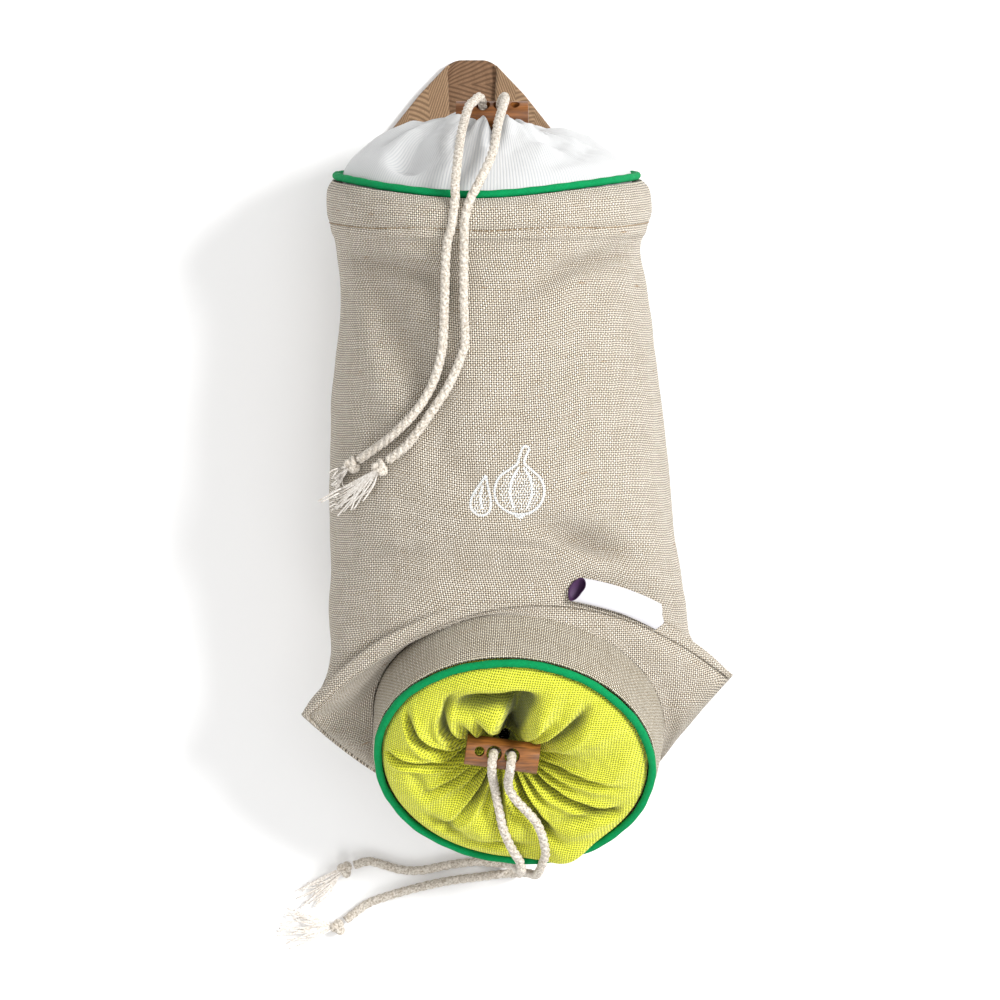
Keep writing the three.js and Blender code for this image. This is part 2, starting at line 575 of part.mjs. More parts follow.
// Drawcords: each end from the gathered hole through its toggle to its knot, points in millimetres
// in the part's own frame
const CORDS = {
  top_cord_left: [
    [-9.9, 101.5, 50.3],
    [-11.1, 105.8, 47.9],
    [-11.3, 108.8, 49.4],
    [-11.4, 112.6, 52.7],
    [-11.5, 116.8, 56.4],
    [-12.6, 118.4, 60.2],
    [-14.4, 116.4, 64.6],
    [-16.1, 113.9, 70.3],
    [-18, 105.4, 84.4],
    [-18.9, 99, 91.8],
    [-19.5, 92.8, 99],
    [-20, 87, 102.4],
    [-20.1, 81.3, 102.1],
    [-21.1, 73.3, 101.4],
    [-22.4, 68.6, 99.7],
    [-23.1, 62.3, 98],
    [-23.5, 49.5, 97],
    [-23.8, 39.8, 97.8],
    [-24.3, 33.3, 97.6],
    [-26.3, 25.3, 97.2],
    [-29.2, 18.9, 96.3],
    [-33.8, 12.4, 95.3],
    [-39.6, 6.7, 92.7],
    [-44.9, 2.5, 88.6],
    [-51.4, -1.8, 83.7],
  ],
  top_cord_right: [
    [-6.9, 101.5, 50.3],
    [-5.7, 105.8, 47.9],
    [-5.4, 108.8, 49.4],
    [-5.5, 112.6, 52.7],
    [-5.4, 116.8, 56.4],
    [-4.2, 118.4, 60.8],
    [-4.1, 116.6, 66.6],
    [-5.1, 112.6, 74],
    [-6.4, 106.9, 85.2],
    [-7.6, 98.8, 94],
    [-9.5, 93.2, 99.2],
    [-11.4, 89, 102.3],
    [-13.1, 85.5, 102.8],
    [-15.3, 81.2, 102.9],
    [-16.9, 74.9, 102.5],
    [-17.2, 62.2, 99.6],
    [-17.3, 49.4, 98.9],
    [-16.9, 36.4, 99.9],
    [-18.2, 31, 99.8],
    [-20.1, 26.2, 99.4],
    [-23, 20.4, 98.5],
    [-27.3, 14, 97.3],
    [-31.8, 7.6, 96.2],
    [-36, 2.4, 94.6],
    [-42, -2.3, 91.9],
  ],
  mouth_cord_left: [
    [-6.8, -97, 63],
    [-7.2, -97.4, 67.5],
    [-7.7, -97.7, 71.6],
    [-7.7, -97.6, 78],
    [-7.8, -97.8, 83],
    [-8.2, -99.9, 85.7],
    [-8.3, -102.6, 84.2],
    [-8.2, -105, 79],
    [-7.9, -107, 72.8],
    [-7.4, -109.6, 67.8],
    [-6.8, -113.2, 64.4],
    [-5.8, -118.1, 62],
    [-4.7, -123.5, 59.5],
    [-2.7, -128.8, 56.3],
    [-0.6, -132.9, 52.6],
    [0.9, -135.5, 48.7],
    [1.6, -138.8, 44.7],
    [1.4, -140, 36.5],
    [0.6, -140.4, 25],
    [-0.8, -140.5, 11],
    [-3.6, -140.4, 3.3],
    [-8.5, -140.1, 1.8],
    [-13.9, -139.7, 1.7],
    [-22.9, -140.8, 1.7],
    [-32.2, -142.6, 1.7],
    [-39.1, -142.6, 1.7],
    [-44.6, -141.2, 1.7],
    [-50.8, -139.6, 1.8],
    [-56, -140.9, 2.6],
  ],
  mouth_cord_right: [
    [-2.9, -97.4, 63],
    [-2.6, -97.8, 67.5],
    [-1.9, -98.4, 71.6],
    [-1.9, -98.4, 78],
    [-1.9, -98.6, 83],
    [-2.1, -100.6, 85.7],
    [-2.4, -103.2, 84.3],
    [-2.8, -105.6, 79.2],
    [-3, -107.8, 73.2],
    [-2.4, -110.6, 68.8],
    [-0.2, -114, 67],
    [3, -117.5, 64.9],
    [6.1, -121.2, 62.3],
    [8, -125.2, 59.4],
    [9, -129, 56.1],
    [9.5, -132.8, 51.6],
    [8.8, -135.7, 48.3],
    [7.6, -139, 44],
    [6.6, -141.2, 35],
    [5.6, -142.4, 22],
    [4, -143, 9],
    [1, -143.7, 2.8],
    [-4.6, -143.9, 1.7],
    [-13.9, -145.1, 1.7],
    [-21.2, -146, 1.7],
    [-29.1, -147.5, 1.7],
    [-38.4, -149.8, 1.7],
    [-45.3, -151.9, 1.7],
    [-50.8, -153.9, 1.7],
    [-55, -156.8, 1.8],
    [-58.9, -159.9, 2.6],
  ],
};

function cordGeometry(points) {
  const path = new THREE.CatmullRomCurve3(points.map((p) => new THREE.Vector3(...p)));
  const sides = 8;
  const section = new THREE.Shape(
    Array.from({ length: sides }, (_, k) => {
      const angle = (2 * Math.PI * (k + 0.5)) / sides;
      return new THREE.Vector2((CORD / 2) * Math.cos(angle), (CORD / 2) * Math.sin(angle));
    }),
  );
  const steps = Math.ceil(path.getLength() / (CORD * CORD_STEP));
  return new THREE.ExtrudeGeometry(section, { steps, bevelEnabled: false, extrudePath: path });
}
for (const [name, points] of Object.entries(CORDS)) {
  part.add(named(name, cordGeometry(points), CORD_COLOUR));
}

// Knots, each with the frayed end of its cord in locks: at is the knot's middle, tips the locks' ends
const KNOTS = {
  top_knot_left: {
    at: [-53.9, -3.4, 81.8],
    tips: [
      [-62.2, -7.2, 76.2],
      [-61.4, -10.2, 74.6],
      [-58.4, -12.2, 74],
    ],
  },
  top_knot_right: {
    at: [-44.6, -4.4, 90.8],
    tips: [
      [-64.6, -14.6, 75.4],
      [-61.4, -17.6, 73.8],
      [-58.6, -18.8, 74.6],
      [-55, -19.2, 78.4],
      [-52.4, -17.2, 82],
    ],
  },
  mouth_knot_left: {
    at: [-59.1, -142.2, 3.1],
    tips: [
      [-76.4, -148.6, 1.2],
      [-75.6, -152, 1.2],
      [-73, -154.6, 1.2],
      [-69.8, -156.6, 1.2],
    ],
  },
  mouth_knot_right: {
    at: [-61.6, -162.1, 3.1],
    tips: [
      [-80.1, -155.4, 1.2],
      [-80.6, -158.4, 1.2],
      [-81.8, -162.4, 1.2],
      [-81, -166.4, 1.2],
      [-78.6, -169.6, 1.2],
    ],
  },
};

function knotGeometry({ at, tips }) {
  const middle = new THREE.Vector3(...at);
  let body = solid(new THREE.SphereGeometry(KNOT / 2, 8, 6).translate(...at));
  for (const tip of tips) {
    const end = new THREE.Vector3(...tip);
    const lock = new THREE.CylinderGeometry(LOCK / 2, LOCK / 3, middle.distanceTo(end), 5);
    const along = end.clone().sub(middle).normalize();
    const upright = new THREE.Vector3(0, 1, 0);
    lock.applyQuaternion(new THREE.Quaternion().setFromUnitVectors(upright, along));
    const half = middle.clone().lerp(end, 0.5);
    body = body.add(solid(lock.translate(half.x, half.y, half.z)));
  }
  return geometryOf(body);
}
for (const [name, knot] of Object.entries(KNOTS)) {
  part.add(named(name, knotGeometry(knot), CORD_COLOUR));
}

part.updateMatrixWorld(true);
export default part;
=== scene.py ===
# A garlic storage bag lying on its back: linen canvas, a gathered white cover at the head, a
# gathered lime cover in a slanting round mouth at the foot, two wooden toggles on drawcords.
# Metres. +X to the right, +Y towards the hanging loop, +Z up from the table.
import math
import random
from collections import namedtuple

import bpy
from mathutils import Matrix, Vector, noise
from mathutils.bvhtree import BVHTree


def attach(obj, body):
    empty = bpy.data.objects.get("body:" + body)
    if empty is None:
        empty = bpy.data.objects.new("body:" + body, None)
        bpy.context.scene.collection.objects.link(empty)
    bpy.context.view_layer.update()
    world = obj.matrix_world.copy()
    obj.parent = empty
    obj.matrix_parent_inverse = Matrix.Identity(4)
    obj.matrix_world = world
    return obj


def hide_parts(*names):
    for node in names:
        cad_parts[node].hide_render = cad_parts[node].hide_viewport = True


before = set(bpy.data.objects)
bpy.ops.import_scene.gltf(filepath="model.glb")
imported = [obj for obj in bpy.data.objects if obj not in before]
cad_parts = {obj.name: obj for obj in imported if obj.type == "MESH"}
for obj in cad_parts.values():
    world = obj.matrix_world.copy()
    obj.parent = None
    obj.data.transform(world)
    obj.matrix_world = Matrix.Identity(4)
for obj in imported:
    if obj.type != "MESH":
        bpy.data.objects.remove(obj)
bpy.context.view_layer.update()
chance = random.Random(7)

# ------------------------------------------------------------------ camera

lens_data = bpy.data.cameras.new("above_the_table")
lens_data.sensor_width = 36
lens_data.lens = 151.2
camera = bpy.data.objects.new("above_the_table", lens_data)
camera.location = (-0.00567, -0.015, 1.45)
bpy.context.scene.collection.objects.link(camera)
bpy.context.scene.camera = camera

# ------------------------------------------------------------------ sizes

BODY_LENGTH = 0.171  # from the head's rim to the foot's seam
BODY_WIDTH = 0.120
BODY_DEPTH = 0.100
EAR_SPAN = 0.1426  # over the two pointed ends of the foot's seam
RIM_Y = 0.09172  # the head's rim lies here on the bag's length
# Thickness of each cloth with its lining
LINEN = 0.0016
PANEL_CLOTH = 0.0012
BAND_CLOTH = 0.0014
COVER_CLOTH = 0.0009
TAPE = 0.0012
# Sewn-on and threaded parts
PIPING = 0.003
CORD = 0.003
KNOT = 0.0062
TOGGLE_LENGTH = 0.024
TOGGLE_DIAMETER = 0.010
TAPE_WIDTH = 0.021
GAP = 0.0003  # between pieces that only lie against each other
# The round mouth: its band is wider at the foot by the flare, and it stands slanting on the bag
MOUTH_RADIUS = 0.047
MOUTH_FLARE = 0.0012
MOUTH_DEPTH = 0.0191
MOUTH_TILT = math.radians(41.1)
MOUTH_TURN = math.radians(-6.4)
MOUTH_SHIFT = 0.0049
SEAM_STRIP = 0.003  # of the end panel, between its seam and the band
# Between neighbouring threads of each weave
LINEN_PITCH = 0.00075
BAND_PITCH = 0.0007
LIME_PITCH = 0.0008
PIPING_PITCH = 0.00045

# ------------------------------------------------------------------ drawcords

# Points of each drawcord from the gathered hole, through its toggle, to its knot
CORDS = {
    "top_cord_left": [
        (-0.0099, 0.1015, 0.0503), (-0.0111, 0.1058, 0.0479), (-0.0113, 0.1088, 0.0494),
        (-0.0114, 0.1126, 0.0527), (-0.0115, 0.1168, 0.0564), (-0.0126, 0.1184, 0.0602),
        (-0.0144, 0.1164, 0.0646), (-0.0161, 0.1139, 0.0703), (-0.018, 0.1054, 0.0844),
        (-0.0189, 0.099, 0.0918), (-0.0195, 0.0928, 0.099), (-0.02, 0.087, 0.1024),
        (-0.0201, 0.0813, 0.1021), (-0.0211, 0.0733, 0.1014), (-0.0224, 0.0686, 0.0997),
        (-0.0231, 0.0623, 0.098), (-0.0235, 0.0495, 0.097), (-0.0238, 0.0398, 0.0978),
        (-0.0243, 0.0333, 0.0976), (-0.0263, 0.0253, 0.0972), (-0.0292, 0.0189, 0.0963),
        (-0.0338, 0.0124, 0.0953), (-0.0396, 0.0067, 0.0927), (-0.0449, 0.0025, 0.0886),
        (-0.0514, -0.0018, 0.0837),
    ],
    "top_cord_right": [
        (-0.0069, 0.1015, 0.0503), (-0.0057, 0.1058, 0.0479), (-0.0054, 0.1088, 0.0494),
        (-0.0055, 0.1126, 0.0527), (-0.0054, 0.1168, 0.0564), (-0.0042, 0.1184, 0.0608),
        (-0.0041, 0.1166, 0.0666), (-0.0051, 0.1126, 0.074), (-0.0064, 0.1069, 0.0852),
        (-0.0076, 0.0988, 0.094), (-0.0095, 0.0932, 0.0992), (-0.0114, 0.089, 0.1023),
        (-0.0131, 0.0855, 0.1028), (-0.0153, 0.0812, 0.1029), (-0.0169, 0.0749, 0.1025),
        (-0.0172, 0.0622, 0.0996), (-0.0173, 0.0494, 0.0989), (-0.0169, 0.0364, 0.0999),
        (-0.0182, 0.031, 0.0998), (-0.0201, 0.0262, 0.0994), (-0.023, 0.0204, 0.0985),
        (-0.0273, 0.014, 0.0973), (-0.0318, 0.0076, 0.0962), (-0.036, 0.0024, 0.0946),
        (-0.042, -0.0023, 0.0919),
    ],
    "mouth_cord_left": [
        (-0.0068, -0.097, 0.063), (-0.0072, -0.0974, 0.0675), (-0.0077, -0.0977, 0.0716),
        (-0.0077, -0.0976, 0.078), (-0.0078, -0.0978, 0.083), (-0.0082, -0.0999, 0.0857),
        (-0.0083, -0.1026, 0.0842), (-0.0082, -0.105, 0.079), (-0.0079, -0.107, 0.0728),
        (-0.0074, -0.1096, 0.0678), (-0.0068, -0.1132, 0.0644), (-0.0058, -0.1181, 0.062),
        (-0.0047, -0.1235, 0.0595), (-0.0027, -0.1288, 0.0563), (-0.0006, -0.1329, 0.0526),
        (0.0009, -0.1355, 0.0487), (0.0016, -0.1388, 0.0447), (0.0014, -0.14, 0.0365),
        (0.0006, -0.1404, 0.025), (-0.0008, -0.1405, 0.011), (-0.0036, -0.1404, 0.0033),
        (-0.0085, -0.1401, 0.0018), (-0.0139, -0.1397, 0.0017), (-0.0229, -0.1408, 0.0017),
        (-0.0322, -0.1426, 0.0017), (-0.0391, -0.1426, 0.0017), (-0.0446, -0.1412, 0.0017),
        (-0.0508, -0.1396, 0.0018), (-0.056, -0.1409, 0.0026),
    ],
    "mouth_cord_right": [
        (-0.0029, -0.0974, 0.063), (-0.0026, -0.0978, 0.0675), (-0.0019, -0.0984, 0.0716),
        (-0.0019, -0.0984, 0.078), (-0.0019, -0.0986, 0.083), (-0.0021, -0.1006, 0.0857),
        (-0.0024, -0.1032, 0.0843), (-0.0028, -0.1056, 0.0792), (-0.003, -0.1078, 0.0732),
        (-0.0024, -0.1106, 0.0688), (-0.0002, -0.114, 0.067), (0.003, -0.1175, 0.0649),
        (0.0061, -0.1212, 0.0623), (0.008, -0.1252, 0.0594), (0.009, -0.129, 0.0561),
        (0.0095, -0.1328, 0.0516), (0.0088, -0.1357, 0.0483), (0.0076, -0.139, 0.044),
        (0.0066, -0.1412, 0.035), (0.0056, -0.1424, 0.022), (0.004, -0.143, 0.009),
        (0.001, -0.1437, 0.0028), (-0.0046, -0.1439, 0.0017), (-0.0139, -0.1451, 0.0017),
        (-0.0212, -0.146, 0.0017), (-0.0291, -0.1475, 0.0017), (-0.0384, -0.1498, 0.0017),
        (-0.0453, -0.1519, 0.0017), (-0.0508, -0.1539, 0.0017), (-0.055, -0.1568, 0.0018),
        (-0.0589, -0.1599, 0.0026),
    ],
}

# Each cord's knot and where the threads of its frayed end lie down
Knot = namedtuple("Knot", "cord middle tips")
KNOTS = [
    Knot("top_cord_left", (-0.0539, -0.0034, 0.0818),
         [(-0.0622, -0.0072, 0.0762), (-0.0614, -0.0102, 0.0746), (-0.0584, -0.0122, 0.074)]),
    Knot("top_cord_right", (-0.0446, -0.0044, 0.0908),
         [(-0.0646, -0.0146, 0.0754), (-0.0614, -0.0176, 0.0738), (-0.0586, -0.0188, 0.0746),
          (-0.055, -0.0192, 0.0784), (-0.0524, -0.0172, 0.082)]),
    Knot("mouth_cord_left", (-0.0591, -0.1422, 0.0031),
         [(-0.0764, -0.1486, 0.0012), (-0.0756, -0.152, 0.0012), (-0.073, -0.1546, 0.0012),
          (-0.0698, -0.1566, 0.0012)]),
    Knot("mouth_cord_right", (-0.0616, -0.1621, 0.0031),
         [(-0.0801, -0.1554, 0.0012), (-0.0806, -0.1584, 0.0012), (-0.0818, -0.1624, 0.0012),
          (-0.081, -0.1664, 0.0012), (-0.0786, -0.1696, 0.0012)]),
]


def between(before, start, end, after, t):
    """A value on the smooth line from start to end, a share t of the way along."""
    bend = (2 * before - 5 * start + 4 * end - after) * t * t
    curl = (3 * start - before - 3 * end + after) * t ** 3
    return start + ((end - before) * t + bend + curl) / 2


def row_at(rows, share):
    """The row a share of the way down a table, on the smooth line through its rows."""
    place = min(max(share, 0.0), 1.0) * (len(rows) - 1)
    i = min(int(place), len(rows) - 2)
    near = [rows[min(max(k, 0), len(rows) - 1)] for k in (i - 1, i, i + 1, i + 2)]
    return type(rows[0])(*(between(*column, place - i) for column in zip(*near)))


def smooth_line(points, step, closed=False):
    """Places step apart along a smooth line through the points."""
    points = [Vector(p) for p in points]
    count = len(points)

    def near(i):
        return points[i % count] if closed else points[min(max(i, 0), count - 1)]

    fine = []
    for i in range(count if closed else count - 1):
        for j in range(12):
            fine.append(between(near(i - 1), near(i), near(i + 1), near(i + 2), j / 12))
    fine.append(near(0).copy() if closed else points[-1].copy())
    lengths = [0.0]
    for a, b in zip(fine, fine[1:]):
        lengths.append(lengths[-1] + (b - a).length)
    parts = max(2, round(lengths[-1] / step))
    line, i = [], 0
    for k in range(parts + 1):
        want = lengths[-1] * k / parts
        while i < len(fine) - 2 and lengths[i + 1] < want:
            i += 1
        span = max(lengths[i + 1] - lengths[i], 1e-12)
        line.append(fine[i].lerp(fine[i + 1], (want - lengths[i]) / span))
    return line


def line_length(line):
    """The way along a line of points."""
    return sum((b - a).length for a, b in zip(line, line[1:]))


def finish_piece(piece, material, smooth=True):
    """Gives a piece its material and soft shading, and lets it ride on the bag."""
    piece.data.materials.append(material)
    if smooth:
        piece.data.polygons.foreach_set("use_smooth", [True] * len(piece.data.polygons))
    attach(piece, "root")
    return piece


def pick(*pieces):
    """Selects these pieces alone, with the first one active."""
    bpy.ops.object.select_all(action="DESELECT")
    for piece in pieces:
        piece.select_set(True)
    bpy.context.view_layer.objects.active = pieces[0]


def apply_step(piece, step):
    """Makes a modifier a lasting part of its piece."""
    pick(piece)
    bpy.ops.object.modifier_apply(modifier=step.name)


def mesh_piece(name, points, faces, uvs=None):
    """A mesh object from its points and faces, with a uv pair for each corner of each face."""
    mesh = bpy.data.meshes.new(name)
    mesh.from_pydata([tuple(p) for p in points], [], faces)
    if uvs is not None:
        layer = mesh.uv_layers.new(name="cloth")
        layer.data.foreach_set("uv", [value for pair in uvs for value in pair])
    mesh.validate()
    mesh.update()
    piece = bpy.data.objects.new(name, mesh)
    bpy.context.scene.collection.objects.link(piece)
    return piece


def tube_rings(line, sides, radius_at, turn_at, closed=False):
    """Rings of points round a line; radius_at(along, angle) gives each point's distance."""
    rings = []
    side = None
    along = 0.0
    count = len(line)
    for i, here in enumerate(line):
        if closed:
            ahead = line[(i + 1) % count] - line[i - 1]
        else:
            ahead = line[min(i + 1, count - 1)] - line[max(i - 1, 0)]
        ahead.normalize()
        if i:
            along += (here - line[i - 1]).length
        if side is None:
            side = ahead.cross(Vector((0, 0, 1)))
            if side.length < 0.2:
                side = ahead.cross(Vector((1, 0, 0)))
        side = (side - ahead * side.dot(ahead)).normalized()
        up = side.cross(ahead)
        ring = []
        for k in range(sides):
            angle = 2 * math.pi * k / sides
            turned = angle + turn_at(along)
            reach = radius_at(along, angle)
            ring.append(here + (side * math.cos(turned) + up * math.sin(turned)) * reach)
        rings.append((along, ring))
    return rings


def tube_piece(name, line, sides, radius_at, turn_at=lambda along: 0.0, closed=False):
    """A tube round a line, its uv running round and along it in metres."""
    rings = tube_rings(line, sides, radius_at, turn_at, closed)
    points = [p for _, ring in rings for p in ring]
    width = 2 * math.pi * radius_at(0.0, 0.0)
    faces, uvs = [], []
    spans = len(rings) if closed else len(rings) - 1
    total = line_length(line) + (line[0] - line[-1]).length if closed else 0
    for i in range(spans):
        j = (i + 1) % len(rings)
        here = rings[i][0]
        ahead = total if closed and j == 0 else rings[j][0]
        for k in range(sides):
            k2 = (k + 1) % sides
            faces.append((i * sides + k, i * sides + k2, j * sides + k2, j * sides + k))
            a, b = k / sides * width, (k + 1) / sides * width
            uvs += [(a, here), (b, here), (b, ahead), (a, ahead)]
    if not closed:
        for row, order in ((0, -1), (len(rings) - 1, 1)):
            centre = len(points)
            points.append(sum(rings[row][1], Vector()) / sides)
            for k in range(sides):
                a, b = row * sides + k, row * sides + (k + 1) % sides
                faces.append((a, b, centre) if order > 0 else (b, a, centre))
                uvs += [(0, rings[row][0])] * 3
    return mesh_piece(name, points, faces, uvs)


STRAND_LAY = 0.0085  # length in which the cord's three strands go once round
CORD_STEP = 0.00042
CORD_SIDES = 18


def rope_radius(along, angle):
    """The cord's surface: three round strands side by side."""
    strand = abs(math.cos(1.5 * angle))
    ply = 0.03 * math.cos(12 * angle + along * 9000)
    return CORD / 2 * (0.8 + 0.24 * strand ** 0.7 + ply)


def strand_turn(along):
    """How far the cord's strands have gone round at a place along it."""
    return 2 * math.pi * along / STRAND_LAY


cord_pieces = {}
cord_lines = {}
for cord_name, cord_points in CORDS.items():
    cord_line = smooth_line(cord_points, CORD_STEP)
    cord_lines[cord_name] = cord_line
    cord_pieces[cord_name] = tube_piece(
        cord_name + "_rope", cord_line, CORD_SIDES, rope_radius, strand_turn)

# ------------------------------------------------------------------ materials


def linear(code):
    """An sRGB hex code as the linear colour that a shader works with."""
    parts = [int(code[i:i + 2], 16) / 255 for i in (0, 2, 4)]
    return (*(c / 12.92 if c < 0.04045 else ((c + 0.055) / 1.055) ** 2.4 for c in parts), 1.0)


def add(material, kind, *inputs, out=0, named=None, **settings):
    """One node in a material. Each input is a number or colour to hold, a socket to follow, or
    None. Gives back the node's output socket."""
    node = material.node_tree.nodes.new("ShaderNode" + kind)
    for setting, value in settings.items():
        setattr(node, setting, value)
    given = list(zip(node.inputs, inputs))
    given += [(node.inputs[key], value) for key, value in (named or {}).items()]
    for socket, value in given:
        if isinstance(value, bpy.types.NodeSocket):
            material.node_tree.links.new(value, socket)
        elif value is not None:
            socket.default_value = value
    return node.outputs[out]


def new_material(name):
    """A material with no nodes yet."""
    material = bpy.data.materials.new(name)
    material.use_nodes = True
    material.node_tree.nodes.clear()
    return material


def close_material(material, surface):
    """Leads the finished surface to the material's output."""
    output = material.node_tree.nodes.new("ShaderNodeOutputMaterial")
    material.node_tree.links.new(surface, output.inputs["Surface"])
    return material


def plain_weave(material, across, along, pitch, wander, checker):
    """Threads going over and under one by one. Gives the height, from 0 in a gap between threads
    to 1 on a thread's crown, and a shade from 0 to 1: checker is how much of it tells the threads
    along from those across, and the rest is each thread's own."""
    place = add(material, "CombineXYZ", across, along, 0.0)
    drift = add(material, "TexNoise", place, noise_dimensions="2D",
                named={"Scale": 260.0, "Detail": 2.0})
    drift = add(material, "MapRange", drift, 0.25, 0.75, -wander, wander)
    threads, waves = [], []
    for way in (across, along):
        thread = add(material, "Math", way, 1 / pitch, drift, operation="MULTIPLY_ADD")
        half_turns = add(material, "Math", thread, math.pi, operation="MULTIPLY")
        waves.append(add(material, "Math", half_turns, operation="SINE"))
        threads.append(add(material, "Math", thread, operation="FLOOR"))
    over = add(material, "Math", *waves, operation="MULTIPLY")
    heights = []
    for wave, lift in zip(waves, (0.36, -0.36)):
        lifted = add(material, "Math", over, lift, 0.64, operation="MULTIPLY_ADD")
        rounded = add(material, "Math", wave, operation="ABSOLUTE")
        heights.append(add(material, "Math", rounded, lifted, operation="MULTIPLY"))
    height = add(material, "Math", *heights, operation="MAXIMUM")
    warp_run = add(material, "Math", along, 60.0, operation="MULTIPLY")
    weft_run = add(material, "Math", across, 60.0, operation="MULTIPLY")
    warp_place = add(material, "CombineXYZ", threads[0], warp_run, 0.0)
    weft_place = add(material, "CombineXYZ", weft_run, threads[1], 3.0)
    warp_shade, weft_shade = (
        add(material, "TexNoise", place, named={"Scale": 1.7, "Detail": 1.0})
        for place in (warp_place, weft_place))
    shown = add(material, "Math", *heights, operation="GREATER_THAN")
    own = add(material, "Mix", shown, None, weft_shade, warp_shade)
    own = add(material, "MapRange", own, 0.3, 0.7, 0.0, 1 - checker)
    crossing = add(material, "MapRange", over, -0.5, 0.5, 0.0, checker)
    return height, add(material, "Math", own, crossing, operation="ADD")


def cloth_place(material):
    """The cloth's own coordinates in metres, across and along its threads."""
    spot = add(material, "UVMap", uv_map="cloth")
    node = material.node_tree.nodes.new("ShaderNodeSeparateXYZ")
    material.node_tree.links.new(spot, node.inputs[0])
    return node.outputs[0], node.outputs[1]


def woven_cloth(name, gap, dull, bright, pitch, checker, closed, deep, depth, slub=None):
    """Plain-woven cloth. gap is the colour between its threads, dull and bright are the two ends
    of the threads' own, closed is the height from which a thread hides the gap, deep the colour
    of the painted shade at the bottom of a fold and depth how much of that painted shade shows
    there, slub that of thick places."""
    material = new_material(name)
    across, along = cloth_place(material)
    height, shade = plain_weave(material, across, along, pitch, 0.16, checker)
    thread = add(material, "MixRGB", shade, linear(dull), linear(bright))
    if slub is not None:
        place = add(material, "CombineXYZ",
                    add(material, "Math", across, 90.0, operation="MULTIPLY"),
                    add(material, "Math", along, 420.0, operation="MULTIPLY"), 0.0)
        thick = add(material, "TexNoise", place, named={"Scale": 1.0, "Detail": 1.0})
        thick = add(material, "MapRange", thick, 0.72, 0.8, 0.0, 0.75)
        thread = add(material, "MixRGB", thick, thread, linear(slub))
    open_gap = add(material, "MapRange", height, closed - 0.3, closed, 0.0, 1.0)
    colour = add(material, "MixRGB", open_gap, linear(gap), thread)
    # Painted shade: where fold_depth marks the bottom of a fold, the colour is darkened towards
    # deep.
    fold = add(material, "Attribute", out="Fac", attribute_name="fold_depth")
    fold = add(material, "MapRange", fold, 0.1, 1.0, 0.0, depth)
    colour = add(material, "MixRGB", fold, colour, linear(deep))
    bump = add(material, "Bump", named={"Strength": 0.9, "Distance": 0.0005, "Height": height})
    surface = add(material, "BsdfPrincipled", named={
        "Base Color": colour, "Roughness": 0.9, "Normal": bump, "Sheen Weight": 0.15})
    return close_material(material, surface)


# Unbleached flax canvas, plain woven from uneven threads: cream crowns, brown gaps between them
# and a tan slub here and there; painted shade of 5A4C38 darkens its dents, folds and seam crease.
linen_canvas = woven_cloth("linen_canvas", "352816", "C4B49B", "FFF7E9", LINEN_PITCH, 0.58,
                           0.71, "5A4C38", 0.45, slub="B08448")
# Cotton and flax union cloth, woven finer than the bag and packed closer.
band_cloth = woven_cloth("band_cloth", "30240F", "BFAE90", "FFF6E2", BAND_PITCH, 0.5, 0.76,
                         "5A4C38", 0.0)
# Cotton canvas dyed lime: plump bright crowns, olive where the dye sits between the threads.
# Its creases, hollows and drawn-in neck are darkened by painted shade of 4A520A.
lime_canvas = woven_cloth("lime_canvas", "868C0C", "D6D926", "FCFC52", LIME_PITCH, 0.4, 0.66,
                          "4A520A", 0.82)

RIB_PITCH = 0.0011  # of the white cotton
TAPE_COLUMNS = 3  # in which the herringbone leans to and fro
TAPE_RIB = 0.0013  # across the tape
TAPE_RIB_LENGTH = 0.0026  # along the tape
RIBBON_PITCH = 0.0005


def ribbed_cotton():
    """Bleached cotton with a fine woven rib: matt, with the faint lines of the rib."""
    material = new_material("ribbed_cotton")
    across, along = cloth_place(material)
    wave = add(material, "Math", across, 2 * math.pi / RIB_PITCH, operation="MULTIPLY")
    rib = add(material, "Math", wave, operation="SINE")
    rib = add(material, "MapRange", rib, -1.0, 0.2, 0.0, 1.0)
    colour = add(material, "MixRGB", rib, linear("B8BABC"), linear("C8C8C7"))
    bump = add(material, "Bump", named={"Strength": 0.4, "Distance": 0.0002, "Height": rib})
    surface = add(material, "BsdfPrincipled", named={
        "Base Color": colour, "Roughness": 0.88, "Normal": bump, "Sheen Weight": 0.2})
    return close_material(material, surface)


def piping_cloth():
    """Green cotton cut on the bias over a cord: a saturated colour with a fine slanting grain."""
    material = new_material("green_bias_cotton")
    across, along = cloth_place(material)
    slant = add(material, "Math", across, along, operation="ADD")
    cross = add(material, "Math", across, along, operation="SUBTRACT")
    height, shade = plain_weave(material, slant, cross, PIPING_PITCH, 0.2, 0.3)
    thread = add(material, "MixRGB", shade, linear("007B45"), linear("009857"))
    depth = add(material, "MapRange", height, 0.1, 0.5, 0.0, 1.0)
    colour = add(material, "MixRGB", depth, linear("005E36"), thread)
    bump = add(material, "Bump", named={"Strength": 0.5, "Distance": 0.0002, "Height": height})
    surface = add(material, "BsdfPrincipled", named={
        "Base Color": colour, "Roughness": 0.85, "Normal": bump, "Specular IOR Level": 0.15})
    return close_material(material, surface)


